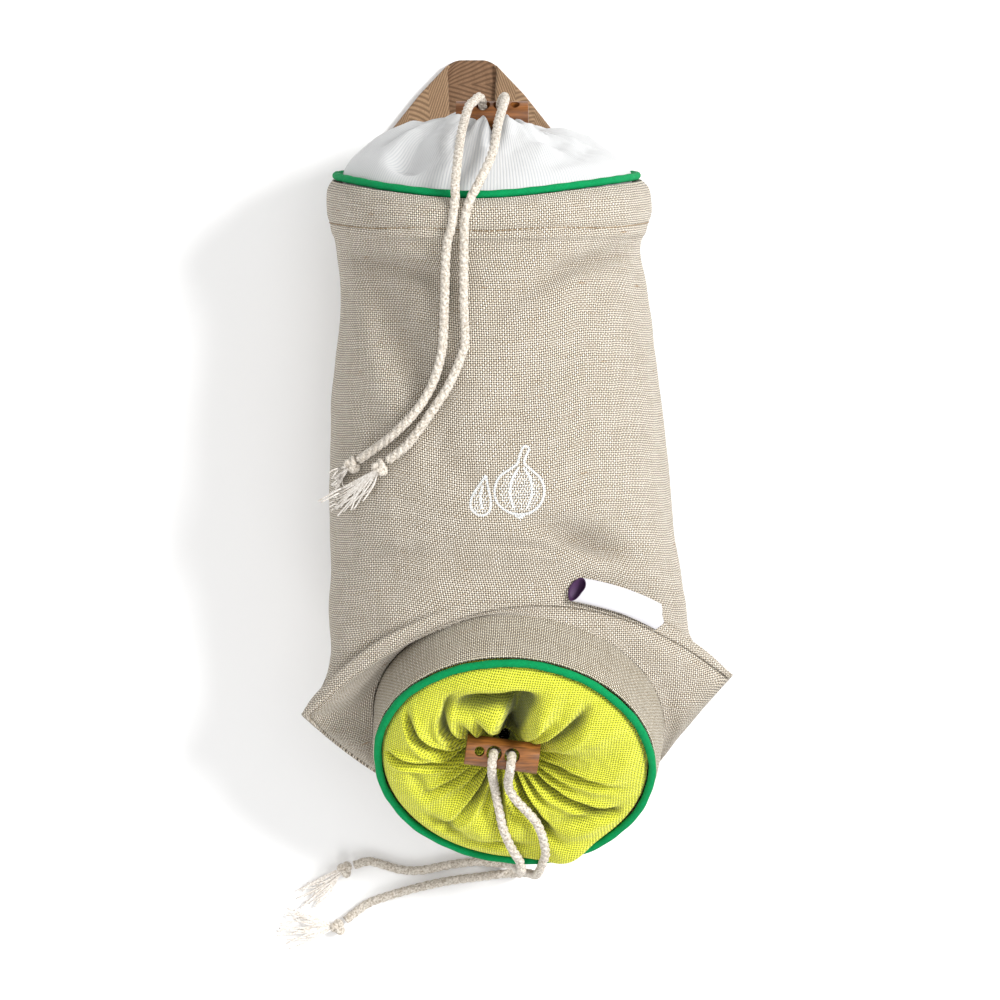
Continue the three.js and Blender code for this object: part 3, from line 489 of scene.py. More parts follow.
def cord_cotton(name, shadow, light):
    """Unbleached cotton yarn laid in plies: soft, with dark flecks of husk in the fibres."""
    material = new_material(name)
    spot = add(material, "TexCoord", out="Object")
    fleck = add(material, "TexNoise", spot, named={"Scale": 1500.0, "Detail": 3.0})
    fleck = add(material, "MapRange", fleck, 0.32, 0.62, 0.0, 1.0)
    tint = add(material, "TexNoise", spot, named={"Scale": 420.0, "Detail": 1.0})
    tint = add(material, "MapRange", tint, 0.35, 0.7, 0.0, 0.35)
    yarn = add(material, "MixRGB", tint, linear(light), linear("E2D6CA"))
    colour = add(material, "MixRGB", fleck, linear(shadow), yarn)
    bump = add(material, "Bump", named={"Strength": 0.4, "Distance": 0.0002, "Height": fleck})
    surface = add(material, "BsdfPrincipled", named={
        "Base Color": colour, "Roughness": 0.92, "Normal": bump, "Sheen Weight": 0.2})
    return close_material(material, surface)


def turned_wood():
    """Reddish hardwood turned on a lathe and waxed: long grain lines and a dull shine."""
    material = new_material("turned_wood")
    spot = add(material, "TexCoord", out="Object")
    grain_place = add(material, "Mapping", spot, named={"Scale": (120.0, 1500.0, 1500.0)})
    grain = add(material, "TexNoise", grain_place, named={"Scale": 1.0, "Detail": 4.0})
    grain = add(material, "MapRange", grain, 0.3, 0.7, 0.0, 1.0)
    patch_place = add(material, "Mapping", spot, named={"Scale": (110.0, 320.0, 320.0)})
    patch = add(material, "TexNoise", patch_place, named={"Scale": 1.0, "Detail": 2.0})
    patch = add(material, "MapRange", patch, 0.3, 0.7, 0.0, 1.0)
    base = add(material, "MixRGB", patch, linear("7A471A"), linear("A4662B"))
    colour = add(material, "MixRGB", grain, linear("573110"), base)
    bump = add(material, "Bump", named={"Strength": 0.35, "Distance": 0.0002, "Height": grain})
    surface = add(material, "BsdfPrincipled", named={
        "Base Color": colour, "Roughness": 0.48, "Normal": bump})
    return close_material(material, surface)


def herringbone_tape(name, groove, dark, light):
    """Cotton tape woven in herringbone: tan ribs that turn back at each of its three columns."""
    material = new_material(name)
    across, along = cloth_place(material)
    column = add(material, "Math", across, TAPE_WIDTH / TAPE_COLUMNS, operation="PINGPONG")
    lean = add(material, "Math", along, 1 / TAPE_RIB_LENGTH, operation="MULTIPLY")
    rib = add(material, "Math", column, 1 / TAPE_RIB, lean, operation="MULTIPLY_ADD")
    turns = add(material, "Math", rib, 2 * math.pi, operation="MULTIPLY")
    wave = add(material, "Math", turns, operation="SINE")
    height = add(material, "MapRange", wave, -0.9, 0.6, 0.0, 1.0)
    place = add(material, "CombineXYZ", across, along, 0.0)
    yarn = add(material, "TexNoise", place, named={"Scale": 2600.0, "Detail": 2.0})
    yarn = add(material, "MapRange", yarn, 0.3, 0.7, 0.0, 1.0)
    thread = add(material, "MixRGB", yarn, linear(dark), linear(light))
    colour = add(material, "MixRGB", height, linear(groove), thread)
    bump = add(material, "Bump", named={"Strength": 0.5, "Distance": 0.0003, "Height": height})
    surface = add(material, "BsdfPrincipled", named={
        "Base Color": colour, "Roughness": 0.85, "Normal": bump, "Sheen Weight": 0.1})
    return close_material(material, surface)


def satin_ribbon(name, code, rough):
    """Close-woven polyester ribbon: smooth, with the faint lines of its weft."""
    material = new_material(name)
    across, along = cloth_place(material)
    wave = add(material, "Math", along, 2 * math.pi / RIBBON_PITCH, operation="MULTIPLY")
    line = add(material, "Math", wave, operation="SINE")
    bump = add(material, "Bump", named={"Strength": 0.2, "Distance": 0.0001, "Height": line})
    surface = add(material, "BsdfPrincipled", named={
        "Base Color": linear(code), "Roughness": rough, "Normal": bump})
    return close_material(material, surface)


def sewing_thread(name, dark, light, rough):
    """Twisted sewing thread: a fine uneven grain with a soft shine."""
    material = new_material(name)
    spot = add(material, "TexCoord", out="Object")
    twist = add(material, "TexNoise", spot, named={"Scale": 2400.0, "Detail": 2.0})
    twist = add(material, "MapRange", twist, 0.3, 0.7, 0.0, 1.0)
    colour = add(material, "MixRGB", twist, linear(dark), linear(light))
    surface = add(material, "BsdfPrincipled", named={"Base Color": colour, "Roughness": rough})
    return close_material(material, surface)


white_cotton = ribbed_cotton()
green_cotton = piping_cloth()
rope_cotton = cord_cotton("rope_cotton", "9C907F", "DCD5CA")
frayed_cotton = cord_cotton("frayed_cotton", "D0C7BC", "FAF6F0")
toggle_wood = turned_wood()
# One tape in two copies: the strip lying under the legs is painted darker as painted shade, and
# the legs and folds are painted lighter as painted light.
shaded_strip_tape = herringbone_tape("shaded_strip_tape", "5C422B", "70523A", "836347")
lit_leg_tape = herringbone_tape("lit_leg_tape", "70563E", "876B4E", "A08263")
label_white = satin_ribbon("label_white", "C9C8CC", 0.5)
label_purple = satin_ribbon("label_purple", "3A1442", 0.6)
brown_thread = sewing_thread("brown_thread", "6F5C44", "A08A6A", 0.7)
white_thread = sewing_thread("white_thread", "CDD3D6", "F4F6F7", 0.5)

for cord_name, piece in cord_pieces.items():
    finish_piece(piece, rope_cotton)
    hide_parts(cord_name)

# ------------------------------------------------------------------ linen bag

# The linen from the rim to the seam at the foot, a row for each cross section. Lengths are shares:
# at of BODY_LENGTH; shift, wide of BODY_WIDTH; centre, top, under of BODY_DEPTH. tilt and back are
# the lean in degrees of the upper and lower half, rest how far it is pressed square by the table,
# ear how far it is drawn to a point at both sides, skew how far its right side is turned headward.
Section = namedtuple("Section", "at shift wide centre top under tilt back rest ear skew")
SECTIONS = [
    Section(0.0, -0.083, 0.858, 0.505, 0.495, 0.495, -6, -6, 0, 0, 0),
    Section(0.018, -0.079, 0.888, 0.505, 0.508, 0.506, -6, -6, 0.1, 0, 0),
    Section(0.06, -0.077, 0.895, 0.505, 0.51, 0.508, -6, -5, 0.3, 0, 0),
    Section(0.1, -0.079, 0.87, 0.503, 0.498, 0.506, -5, -4, 0.5, 0, 0),
    Section(0.14, -0.08, 0.846, 0.5, 0.487, 0.505, -4, -3, 0.7, 0, 0),
    Section(0.21, -0.066, 0.85, 0.5, 0.488, 0.508, -3, -2, 0.9, 0, 0),
    Section(0.32, -0.059, 0.878, 0.5, 0.494, 0.51, -1, 0, 1, 0, 0),
    Section(0.43, -0.056, 0.91, 0.5, 0.5, 0.512, 0, 0, 1, 0, 0),
    Section(0.54, -0.05, 0.935, 0.5, 0.5, 0.512, 2, 2, 1, 0, 0),
    Section(0.65, -0.045, 0.95, 0.5, 0.497, 0.512, 7, 5, 1, 0, 0),
    Section(0.75, -0.036, 0.965, 0.505, 0.488, 0.515, 15, 9, 0.9, 0.06, 0),
    Section(0.83, -0.028, 0.99, 0.53, 0.468, 0.545, 26, 15, 0.6, 0.2, 0.02),
    Section(0.91, -0.018, 1.0, 0.565, 0.44, 0.6, 38, 23, 0.3, 0.5, 0.05),
    Section(0.96, -0.006, 1.07, 0.59, 0.422, 0.66, 45, 30, 0.1, 0.8, 0.074),
    Section(1.0, 0.0, EAR_SPAN / BODY_WIDTH, 0.61, 0.407, 0.7, 49, 36, 0, 1, 0.091),
]

# Dents and folds of the linen's upper side: across as a share of the half width, along of
# BODY_LENGTH, long and broad of BODY_WIDTH, turn in degrees from the length, deep in metres.
Fold = namedtuple("Fold", "across along long broad turn deep")
FOLDS = [
    Fold(-0.45, 0.2, 0.2, 0.1, 70, 0.0022),  # dent under the hem, left
    Fold(-0.72, 0.32, 0.3, 0.06, 22, -0.0016),  # ridge down the left side
    Fold(-0.42, 0.36, 0.3, 0.1, 20, 0.0016),  # hollow beside that ridge
    Fold(0.82, 0.16, 0.12, 0.07, 75, 0.002),  # pinch under the hem, right
    Fold(0.5, 0.8, 0.13, 0.1, 80, 0.0026),  # hollow above the label
    Fold(-0.72, 0.86, 0.14, 0.09, 60, 0.0026),  # hollow above the left ear
]
FINE_FOLDS = [
    Fold(-0.60, 0.165, 0.20, 0.030, 80, 0.0044),  # crease under the hem, left
    Fold(-0.10, 0.150, 0.20, 0.018, 92, 0.0012),  # crease under the hem, middle
    Fold(0.62, 0.150, 0.16, 0.026, 104, 0.0046),  # crease under the hem, right
    Fold(0.30, 0.195, 0.14, 0.024, 118, 0.0024),  # its tail running down to the middle
    Fold(-0.58, 0.270, 0.20, 0.070, 26, 0.0058),  # broad valley down from it
    Fold(-0.84, 0.290, 0.20, 0.026, 12, -0.0024),  # bright ridge left of the valley
    Fold(-0.97, 0.340, 0.18, 0.024, 8, 0.0024),  # upright crease at the left side
    Fold(-0.72, 0.450, 0.16, 0.040, 30, 0.0022),
    Fold(0.84, 0.300, 0.22, 0.035, -12, 0.0026),  # slack down the right side
    Fold(0.92, 0.520, 0.20, 0.030, -8, 0.0018),
    Fold(0.45, 0.765, 0.12, 0.062, 66, 0.0060),  # dark dent over the label
    Fold(0.12, 0.830, 0.10, 0.030, 75, 0.0014),  # its tail towards the middle
    Fold(-0.90, 0.885, 0.12, 0.030, 50, 0.0034),  # tuck above the left ear
    Fold(-0.62, 0.800, 0.12, 0.040, 66, 0.0026),  # hollow above that tuck
    Fold(-0.20, 0.600, 0.20, 0.060, 40, 0.0012),
    Fold(0.20, 0.420, 0.22, 0.070, -30, 0.0014),
]


def fold_depth(folds, across, along):
    """Depth of these folds at a place, across and along as in their table."""
    depth = 0.0
    for fold in folds:
        turn = math.radians(fold.turn)
        dx = (across - fold.across) * BODY_WIDTH / 2
        dy = (along - fold.along) * BODY_LENGTH
        lengthwise = (dy * math.cos(turn) + dx * math.sin(turn)) / (fold.long * BODY_WIDTH)
        crosswise = (dx * math.cos(turn) - dy * math.sin(turn)) / (fold.broad * BODY_WIDTH)
        reach = lengthwise ** 2 + crosswise ** 2
        if reach < 12:
            depth += fold.deep * math.exp(-reach)
    return depth


def dent_depth(across, along):
    """Depth of all dents and folds of the linen at a place."""
    return fold_depth(FOLDS, across, along) + fold_depth(FINE_FOLDS, across, along)


def linen_point(row, angle, inset=0.0, lift=0.0, dented=True):
    """A point of the linen at an angle round the bag, moved in by inset or out by lift."""
    c, s = math.cos(angle), math.sin(angle)
    upper = s >= 0
    square = 1 - 0.2 * row.rest * (0 if upper else 1)
    rise = square + row.ear * (2 - square)
    half = row.wide * BODY_WIDTH / 2 - inset * (1 + 0.6 * row.ear) + lift * abs(c)
    x = half * math.copysign(abs(c) ** square, c)
    reach = (row.top if upper else row.under) * BODY_DEPTH - inset + lift
    dent = 0.0
    if upper and dented:
        dent = dent_depth(x / (BODY_WIDTH / 2), row.at) * s
    w = math.copysign(reach * abs(s) ** rise, s) - dent
    tilt = math.radians(row.tilt if upper else row.back)
    return Vector((x + row.shift * BODY_WIDTH,
                   RIM_Y - row.at * BODY_LENGTH + w * math.sin(tilt) + row.skew * x,
                   max(row.centre * BODY_DEPTH + w * math.cos(tilt), inset)))


HEM_AT = 0.108  # lower edge of the hem that holds the rim, a share of BODY_LENGTH
STITCH_AT = 0.083  # its line of stitches, likewise
CRUMPLE = 0.0008  # how high the worn linen crumples
SEAM_CURL = 0.0016  # radius by which the linen turns in at its seam


def hem_lift(at):
    """How much the doubled hem stands out, with a groove where its stitches pull it in."""
    edge = 1 / (1 + math.exp((at - HEM_AT) * 650))
    groove = math.exp(-((at - STITCH_AT) / 0.008) ** 2)
    return 0.0015 * edge - 0.0009 * groove


def dipped(point):
    """The rim sags a little in the middle of its upper side and takes the cloth with it."""
    across = math.exp(-((point.x + 0.014) / 0.036) ** 2)
    near = math.exp(-((point.y - RIM_Y) / 0.014) ** 2)
    high = min(1.0, max(0.0, (point.z - 0.05) / 0.035))
    return Vector((point.x, point.y - 0.0052 * across * near * high, point.z))


def seam_ear(angle):
    """How far round towards an ear a place on the seam lies, from 0 at the crown to 1."""
    return min(1.0, max(0.0, (abs(math.cos(angle)) - 0.25) / 0.45))


def seam_place(at, angle):
    """How far towards an ear a place is, how wide the roll is there, and the way to the seam."""
    ear = seam_ear(angle)
    return ear, 0.0012 + 0.0010 * ear, (1 - at) * BODY_LENGTH


def seam_gutter(at, angle):
    """The crease above the rolled seam, from 0 to 1 at its bottom on an ear."""
    ear, wide, rest = seam_place(at, angle)
    return (0.12 + 0.88 * ear) * math.exp(-((rest - 3.2 * wide) / (0.7 * wide)) ** 2)


def seam_roll(at, angle):
    """The linen's foot rolls over the seam: a broad roll on each ear, a low one at the crown."""
    ear, wide, rest = seam_place(at, angle)
    roll = (0.0004 + 0.0020 * ear) * math.exp(-((rest - 1.3 * wide) / wide) ** 2)
    return roll - 0.0024 * seam_gutter(at, angle)


def linen_surface(share, angle):
    """A point of the bag's outside, with its hem, its rolled seam and its crumpled cloth."""
    row = row_at(SECTIONS, share)
    upward = max(0.0, math.sin(angle))
    lift = hem_lift(row.at) * min(1.0, row.at / 0.02) * (0.25 + 0.75 * upward)
    lift += seam_roll(row.at, angle) * upward ** 0.5
    point = linen_point(row, angle, 0.0, lift)
    crumple = noise.noise(Vector((point.x * 55, point.y * 40, point.z * 55)))
    crumple += 0.5 * noise.noise(Vector((point.x * 140, point.y * 90, point.z * 140)))
    inside = min(1.0, row.at * 10, (1 - row.at) * 14)
    outward = Vector((point.x - row.shift * BODY_WIDTH, 0, point.z - 0.05)).normalized()
    point += outward * crumple * CRUMPLE * inside
    point.z = max(point.z, 0.0)
    return dipped(point)


def linen_shade(share, angle):
    """How much painted shade the linen's colour gets at a place, from 0 to 1: how deep it lies in
    a dent or fold, and in the crease above the rolled seam.
    """
    row = row_at(SECTIONS, share)
    point = linen_point(row, angle, dented=False)
    across = (point.x - row.shift * BODY_WIDTH) / (BODY_WIDTH / 2)
    depth = dent_depth(across, row.at) / 0.009 + 0.8 * seam_gutter(row.at, angle)
    return min(1.0, max(0.0, depth * max(0.0, math.sin(angle))))


def painted_shade_depths(piece, painted_shades):
    """Gives each point of a cloth how deep in a fold it lies, for the painted shade in its colour.
    """
    depths = piece.data.attributes.new("fold_depth", "FLOAT", "POINT")
    depths.data.foreach_set("value", [shade for row in painted_shades for shade in row])


def loft_piece(name, rows, uv_rows, closed=True):
    """A piece of cloth over rows of points, with a uv pair for each; closed joins the ends of
    each row, where uv_rows hold one more pair."""
    count = len(rows[0])
    spans = count if closed else count - 1
    faces, uvs = [], []
    for i in range(len(rows) - 1):
        for k in range(spans):
            k2 = (k + 1) % count
            here, ahead = i * count, (i + 1) * count
            faces.append((here + k, ahead + k, ahead + k2, here + k2))
            uvs += [uv_rows[i][k], uv_rows[i + 1][k], uv_rows[i + 1][k + 1], uv_rows[i][k + 1]]
    return mesh_piece(name, [p for row in rows for p in row], faces, uvs)


def thicken(piece, wall, outward):
    """Gives the cloth its wall, on the side away from outward(point)."""
    mesh = piece.data
    agree = sum(p.normal.dot(outward(p.center)) * p.area for p in mesh.polygons)
    if agree < 0:
        mesh.flip_normals()
    wall_step = piece.modifiers.new("wall", "SOLIDIFY")
    wall_step.thickness = wall
    wall_step.offset = -1.0
    wall_step.use_even_offset = False
    apply_step(piece, wall_step)
    return piece


def angles_round(count):
    """Angles all the way round the bag, from its underside."""
    return [2 * math.pi * (k / count) - math.pi / 2 for k in range(count)]


LINEN_ROWS = 170
LINEN_AROUND = 220


def ring_uvs(ring, start, along):
    """Cloth coordinates round a ring: across is the length round from start."""
    count = len(ring)
    across = [0.0] * (count + 1)
    for k in range(1, count + 1):
        step = ring[k % count] - ring[k - 1]
        across[k] = across[k - 1] + math.hypot(step.x, step.z)
    zero = across[start]
    return [(across[k] - zero, along[k % count]) for k in range(count + 1)]


def seam_out(angle):
    """The way out of the bag's foot, square to its seam."""
    foot = SECTIONS[-1]
    tilt = math.radians(foot.back + (foot.tilt - foot.back) * (1 + math.sin(angle)) / 2)
    return Vector((0, -math.cos(tilt), math.sin(tilt)))


def seam_in(angle):
    """From a place on the seam towards the middle of the foot."""
    foot = SECTIONS[-1]
    at = linen_point(foot, angle, dented=False)
    middle = Vector((foot.shift * BODY_WIDTH, at.y, foot.centre * BODY_DEPTH))
    away = Vector((at.x - middle.x, 0, (at.z - middle.z) * 2.5))
    return -away.normalized()


linen_angles = angles_round(LINEN_AROUND)
linen_rows = [[linen_surface(i / LINEN_ROWS, angle) for angle in linen_angles]
              for i in range(LINEN_ROWS + 1)]
for turned in (0.2, 0.4, 0.6, 0.8, 1.0):
    curl = turned * math.pi / 2
    linen_rows.append([
        foot + seam_out(angle) * SEAM_CURL * math.sin(curl)
        + seam_in(angle) * SEAM_CURL * (1 - math.cos(curl))
        for foot, angle in zip(linen_rows[LINEN_ROWS], linen_angles)])
linen_uvs = []
linen_along = [0.0] * LINEN_AROUND
for i, row in enumerate(linen_rows):
    before = linen_rows[max(i - 1, 0)]
    linen_along = [reach - math.hypot(p.y - q.y, p.z - q.z)
                   for reach, p, q in zip(linen_along, row, before)]
    linen_uvs.append(ring_uvs(row, LINEN_AROUND // 2, linen_along))
linen_bag = loft_piece("linen_bag", linen_rows, linen_uvs)
# Painted shade in the linen's dents, folds and seam crease, kept for its colour.
painted_shade_depths(linen_bag, [[linen_shade(min(i / LINEN_ROWS, 1.0), angle) for angle in linen_angles]
                         for i in range(len(linen_rows))])
linen_top = BVHTree.FromPolygons(
    [v.co[:] for v in linen_bag.data.vertices], [p.vertices[:] for p in linen_bag.data.polygons])
thicken(linen_bag, LINEN, lambda p: Vector((p.x + 0.006, 0, p.z - 0.05)))
finish_piece(linen_bag, linen_canvas)
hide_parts("body_canvas")


def linen_height(x, y):
    """Height and upright of the linen over a place on the table, or of the table itself."""
    hit = linen_top.ray_cast(Vector((x, y, 0.2)), Vector((0, 0, -1)))
    return (hit[0].z, hit[1]) if hit[0] is not None else (0.0, Vector((0, 0, 1)))


# ------------------------------------------------------------------ stitches

Stitch = namedtuple("Stitch", "start end up")


def stitch_piece(name, stitches, thick, material):
    """Separate stitches, each a short bowed thread that sinks into the cloth at both ends."""
    points, faces, sides = [], [], 6
    profile = [(0.0, -0.5), (0.18, 0.35), (0.5, 0.6), (0.82, 0.35), (1.0, -0.5)]
    for stitch in stitches:
        ahead = (stitch.end - stitch.start).normalized()
        side = ahead.cross(stitch.up).normalized()
        up = side.cross(ahead)
        first = len(points)
        for share, lift in profile:
            middle = stitch.start.lerp(stitch.end, share) + up * thick * lift * 0.5
            reach = thick / 2 * (0.55 if share in (0.0, 1.0) else 1.0)
            for k in range(sides):
                angle = 2 * math.pi * k / sides
                points.append(middle + (side * math.cos(angle) + up * math.sin(angle)) * reach)
        for i in range(len(profile) - 1):
            for k in range(sides):
                a, b = first + i * sides + k, first + i * sides + (k + 1) % sides
                faces.append((a, b, b + sides, a + sides))
        faces.append(tuple(first + k for k in reversed(range(sides))))
        last = first + (len(profile) - 1) * sides
        faces.append(tuple(last + k for k in range(sides)))
    return finish_piece(mesh_piece(name, points, faces), material)


def stitches_along(line, ups, length, spacing):
    """Running stitches one after another on a line."""
    step = (line[1] - line[0]).length
    long, apart = max(1, round(length / step)), max(1, round(spacing / step))
    return [Stitch(line[i], line[i + long], ups[i]) for i in range(0, len(line) - long, apart)]


HEM_THREAD = 0.00042
HEM_STITCH = 0.0020
HEM_STITCHES_APART = 0.0030

hem_share = next(i / 1000 for i in range(1000) if row_at(SECTIONS, i / 1000).at >= STITCH_AT)
hem_ring = [linen_surface(hem_share, angle) for angle in angles_round(900)]
hem_ups = [Vector((p.x + 0.009, 0, p.z - 0.05)).normalized() for p in hem_ring]
hem_ring = [p + Vector((0, 0.0004 * math.sin(p.x * 160), 0)) for p in hem_ring]
hem_seam = [stitch for stitch in stitches_along(hem_ring, hem_ups, HEM_STITCH, HEM_STITCHES_APART)
            if stitch.start.z > 0.001]
hem_stitches = stitch_piece("hem_stitches", hem_seam, HEM_THREAD, brown_thread)

# ------------------------------------------------------------------ openings

rim = SECTIONS[0]
rim_tilt = math.radians(rim.tilt)
seam = SECTIONS[-1]


def opening_matrix(origin, across, up):
    """Axes of an opening: X across, Y up in its plane, Z out of the bag."""
    out = across.cross(up)
    basis = Matrix((across, up, out)).transposed().to_4x4()
    return Matrix.Translation(origin) @ basis


rim_matrix = opening_matrix(
    Vector((rim.shift * BODY_WIDTH, RIM_Y, rim.centre * BODY_DEPTH)),
    Vector((-1, 0, 0)), Vector((0, math.sin(rim_tilt), math.cos(rim_tilt))))
rim_half = (rim.wide * BODY_WIDTH / 2, rim.top * BODY_DEPTH)

turn = Matrix.Rotation(MOUTH_TURN, 3, "Z")
mouth_up = turn @ Vector((0, math.cos(MOUTH_TILT), math.sin(MOUTH_TILT)))
mouth_across = turn @ Vector((1, 0, 0))
mouth_out = mouth_across.cross(mouth_up)
base_radius = MOUTH_RADIUS + MOUTH_FLARE
crown = linen_point(seam, math.pi / 2, dented=False)
mouth_end = (crown - mouth_up * (base_radius + SEAM_STRIP) + mouth_across * MOUTH_SHIFT
             + mouth_out * (4 * GAP + MOUTH_DEPTH))
mouth_matrix = opening_matrix(mouth_end, mouth_across, mouth_up)


def oval(half_x, half_y, z, count):
    """Points round an oval in the axes of an opening."""
    return [Vector((half_x * math.cos(2 * math.pi * k / count),
                    half_y * math.sin(2 * math.pi * k / count), z)) for k in range(count)]


# ------------------------------------------------------------------ end panel

PANEL_ROWS = 44
PANEL_AROUND = 220


def panel_point(share, angle):
    """The end panel from the seam, with its two ears, to the foot of the mouth's band."""
    out = seam_out(angle)
    edge = linen_point(seam, angle, 0.6 * LINEN * min(1.0, share * 8), dented=False)
    edge += out * (0.0004 + LINEN)
    radius = base_radius + 2.5 * GAP - 0.0006
    hole = mouth_matrix @ Vector((radius * math.cos(angle), radius * math.sin(angle),
                                  LINEN - MOUTH_DEPTH))
    point = edge.lerp(hole, share)
    if share == 0:
        point += seam_in(angle) * 0.0008 - out * 0.0010
    span = (edge - hole).length
    swell = math.sin(math.pi * share) * min(1.0, span / 0.02)
    ear = abs(math.cos(angle)) ** 6
    pull = 0.0010 * math.sin(angle * 9 + 1.1) * swell * ear
    crown = max(0.0, math.sin(angle)) ** 3
    dip = -0.0020 * math.exp(-((share * span - 0.0006) / 0.0016) ** 2)
    dip -= 0.0016 * crown * swell
    near_band = math.exp(-((span - 0.0022 - share * span) / 0.005) ** 2)
    hollow = -0.004 * near_band * min(1, span / 0.03)
    point += out * (pull + dip + swell * 0.0006 + hollow * 0.5)
    crumple = noise.noise(Vector((point.x * 110, point.y * 110, point.z * 110)))
    point += out * crumple * 0.0006 * swell
    point.z = max(point.z, 0.0)
    return point


panel_rows = [[panel_point(i / PANEL_ROWS, angle) for angle in angles_round(PANEL_AROUND)]
              for i in range(PANEL_ROWS + 1)]


def flat_place(column, i):
    """Where a point lies on the end panel's cloth: its own way round, and its distance over the
    cloth from the band."""
    local = mouth_matrix.inverted() @ column[i]
    reach = base_radius + sum((b - a).length for a, b in zip(column[i:], column[i + 1:]))
    turned = math.atan2(local.y, local.x)
    return reach * math.cos(turned), reach * math.sin(turned)


panel_columns = list(zip(*panel_rows))
panel_uvs = [[flat_place(panel_columns[k % PANEL_AROUND], i) for k in range(PANEL_AROUND + 1)]
             for i in range(PANEL_ROWS + 1)]
end_panel = loft_piece("end_panel_cloth", panel_rows, panel_uvs)
thicken(end_panel, PANEL_CLOTH, lambda p: mouth_out)
finish_piece(end_panel, linen_canvas)
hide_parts("end_panel")

# ------------------------------------------------------------------ mouth band and piping

# The band from its sewn foot to its piped edge: share of its depth, radius
BAND_PROFILE = [
    (1.0, base_radius - 0.0008), (0.97, base_radius + 0.0001), (0.9, base_radius),
    (0.75, MOUTH_RADIUS + 0.0011), (0.55, MOUTH_RADIUS + 0.0008), (0.35, MOUTH_RADIUS + 0.0005),
    (0.18, MOUTH_RADIUS + 0.0003), (0.08, MOUTH_RADIUS), (0.02, MOUTH_RADIUS - 0.0003),
    (0.0, MOUTH_RADIUS - 0.0009),
]
BAND_AROUND = 200
band_rows, band_uvs = [], []
for share, radius in BAND_PROFILE:
    ring = []
    for k in range(BAND_AROUND):
        angle = 2 * math.pi * k / BAND_AROUND
        ripple = 0.0004 * math.sin(angle * 7 + 0.6) * math.sin(math.pi * share)
        spot = Vector(((radius + ripple) * math.cos(angle), (radius + ripple) * math.sin(angle),
                       -share * MOUTH_DEPTH))
        ring.append(mouth_matrix @ spot)
    band_rows.append(ring)
    band_uvs.append([(2 * math.pi * MOUTH_RADIUS * k / BAND_AROUND, share * MOUTH_DEPTH)
                     for k in range(BAND_AROUND + 1)])
mouth_band = loft_piece("mouth_band_cloth", band_rows, band_uvs)
thicken(mouth_band, BAND_CLOTH,
        lambda p: p - mouth_end + mouth_out * (p - mouth_end).dot(-mouth_out))
finish_piece(mouth_band, band_cloth)
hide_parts("mouth_band")


PIPING_CORD = 0.43 * PIPING  # its radius, drawn thin between the cloths on both sides
PIPING_SIDES = 14


def piping_piece(name, matrix, half_x, half_y, node):
    """A cord covered in cloth round an opening, a little uneven where hands have sewn it."""
    line = []
    for spot in oval(half_x, half_y, PIPING / 2, 240):
        angle = math.atan2(spot.y, spot.x)
        sway = 0.00018 * math.sin(angle * 5 + 1) + 0.0001 * math.sin(angle * 13)
        line.append(dipped(matrix @ (spot * (1 + sway / half_x))))
    piece = tube_piece(
        name, line, PIPING_SIDES,
        lambda along, angle: PIPING_CORD * (1 + 0.05 * math.sin(along * 700)), closed=True)
    finish_piece(piece, green_cotton)
    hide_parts(node)


piping_piece("top_piping_cord", rim_matrix, rim_half[0] - PIPING / 2, rim_half[1] - PIPING / 2,
             "top_piping")
mouth_piping_radius = MOUTH_RADIUS - PIPING / 2 - GAP
piping_piece("mouth_piping_cord", mouth_matrix, mouth_piping_radius, mouth_piping_radius,
             "mouth_piping")

# ------------------------------------------------------------------ gathered covers

# A cover's shape from its sewn edge to the hole: out is a share of the sewn edge's radius, high of
# the cover's height, fold of the fold depth.
Profile = namedtuple("Profile", "out high fold")
# Its height, the number and depth of its large folds, the hole's radius, the valley that the
# toggle presses in, the slump of its left side, where its hole is off the middle, and the share
# by which it spills over the piping, with the angle of that place.
Cover = namedtuple(
    "Cover", "height folds deep hole valley valley_wide valley_long slump pole_x pole_y"
             " spill spill_at")
TOP_COVER = Cover(0.0225, 9, 0.0022, 0.0054, 0.009, 0.007, 0.020, 0.003, -0.0017, -0.002, 0, 0)
TOP_PROFILE = [
    Profile(1.0, 0.0, 0), Profile(0.99, 0.13, 0.05), Profile(0.945, 0.3, 0.25),
    Profile(0.865, 0.46, 0.5), Profile(0.76, 0.62, 0.8), Profile(0.61, 0.77, 1),
    Profile(0.45, 0.9, 1), Profile(0.31, 0.98, 0.8), Profile(0.21, 0.93, 0.5),
    Profile(0.14, 0.8, 0.25),
]
MOUTH_COVER = Cover(0.0055, 9, 0.0016, 0.0054, 0.0055, 0.0085, 0.020, 0.0, -0.0043, -0.002,
                    0.070, math.radians(300))
MOUTH_PROFILE = [
    Profile(1.0, 0.0, 0), Profile(0.975, 0.4, 0.1), Profile(0.9, 0.78, 0.3),
    Profile(0.78, 1.0, 0.6), Profile(0.63, 0.98, 0.9), Profile(0.48, 0.72, 1),
    Profile(0.34, 0.35, 0.9), Profile(0.23, -0.05, 0.6), Profile(0.15, -0.5, 0.3),
]
# Where each toggle lies on its cover, in the opening's axes; lean turns it about its own length
Toggle = namedtuple("Toggle", "x y z turn lean")
TOP_TOGGLE = Toggle(-0.0017, 0.0, 0.021, -1, 35)
MOUTH_TOGGLE = Toggle(-0.0043, 0.0072, 0.0048, -2, 42)

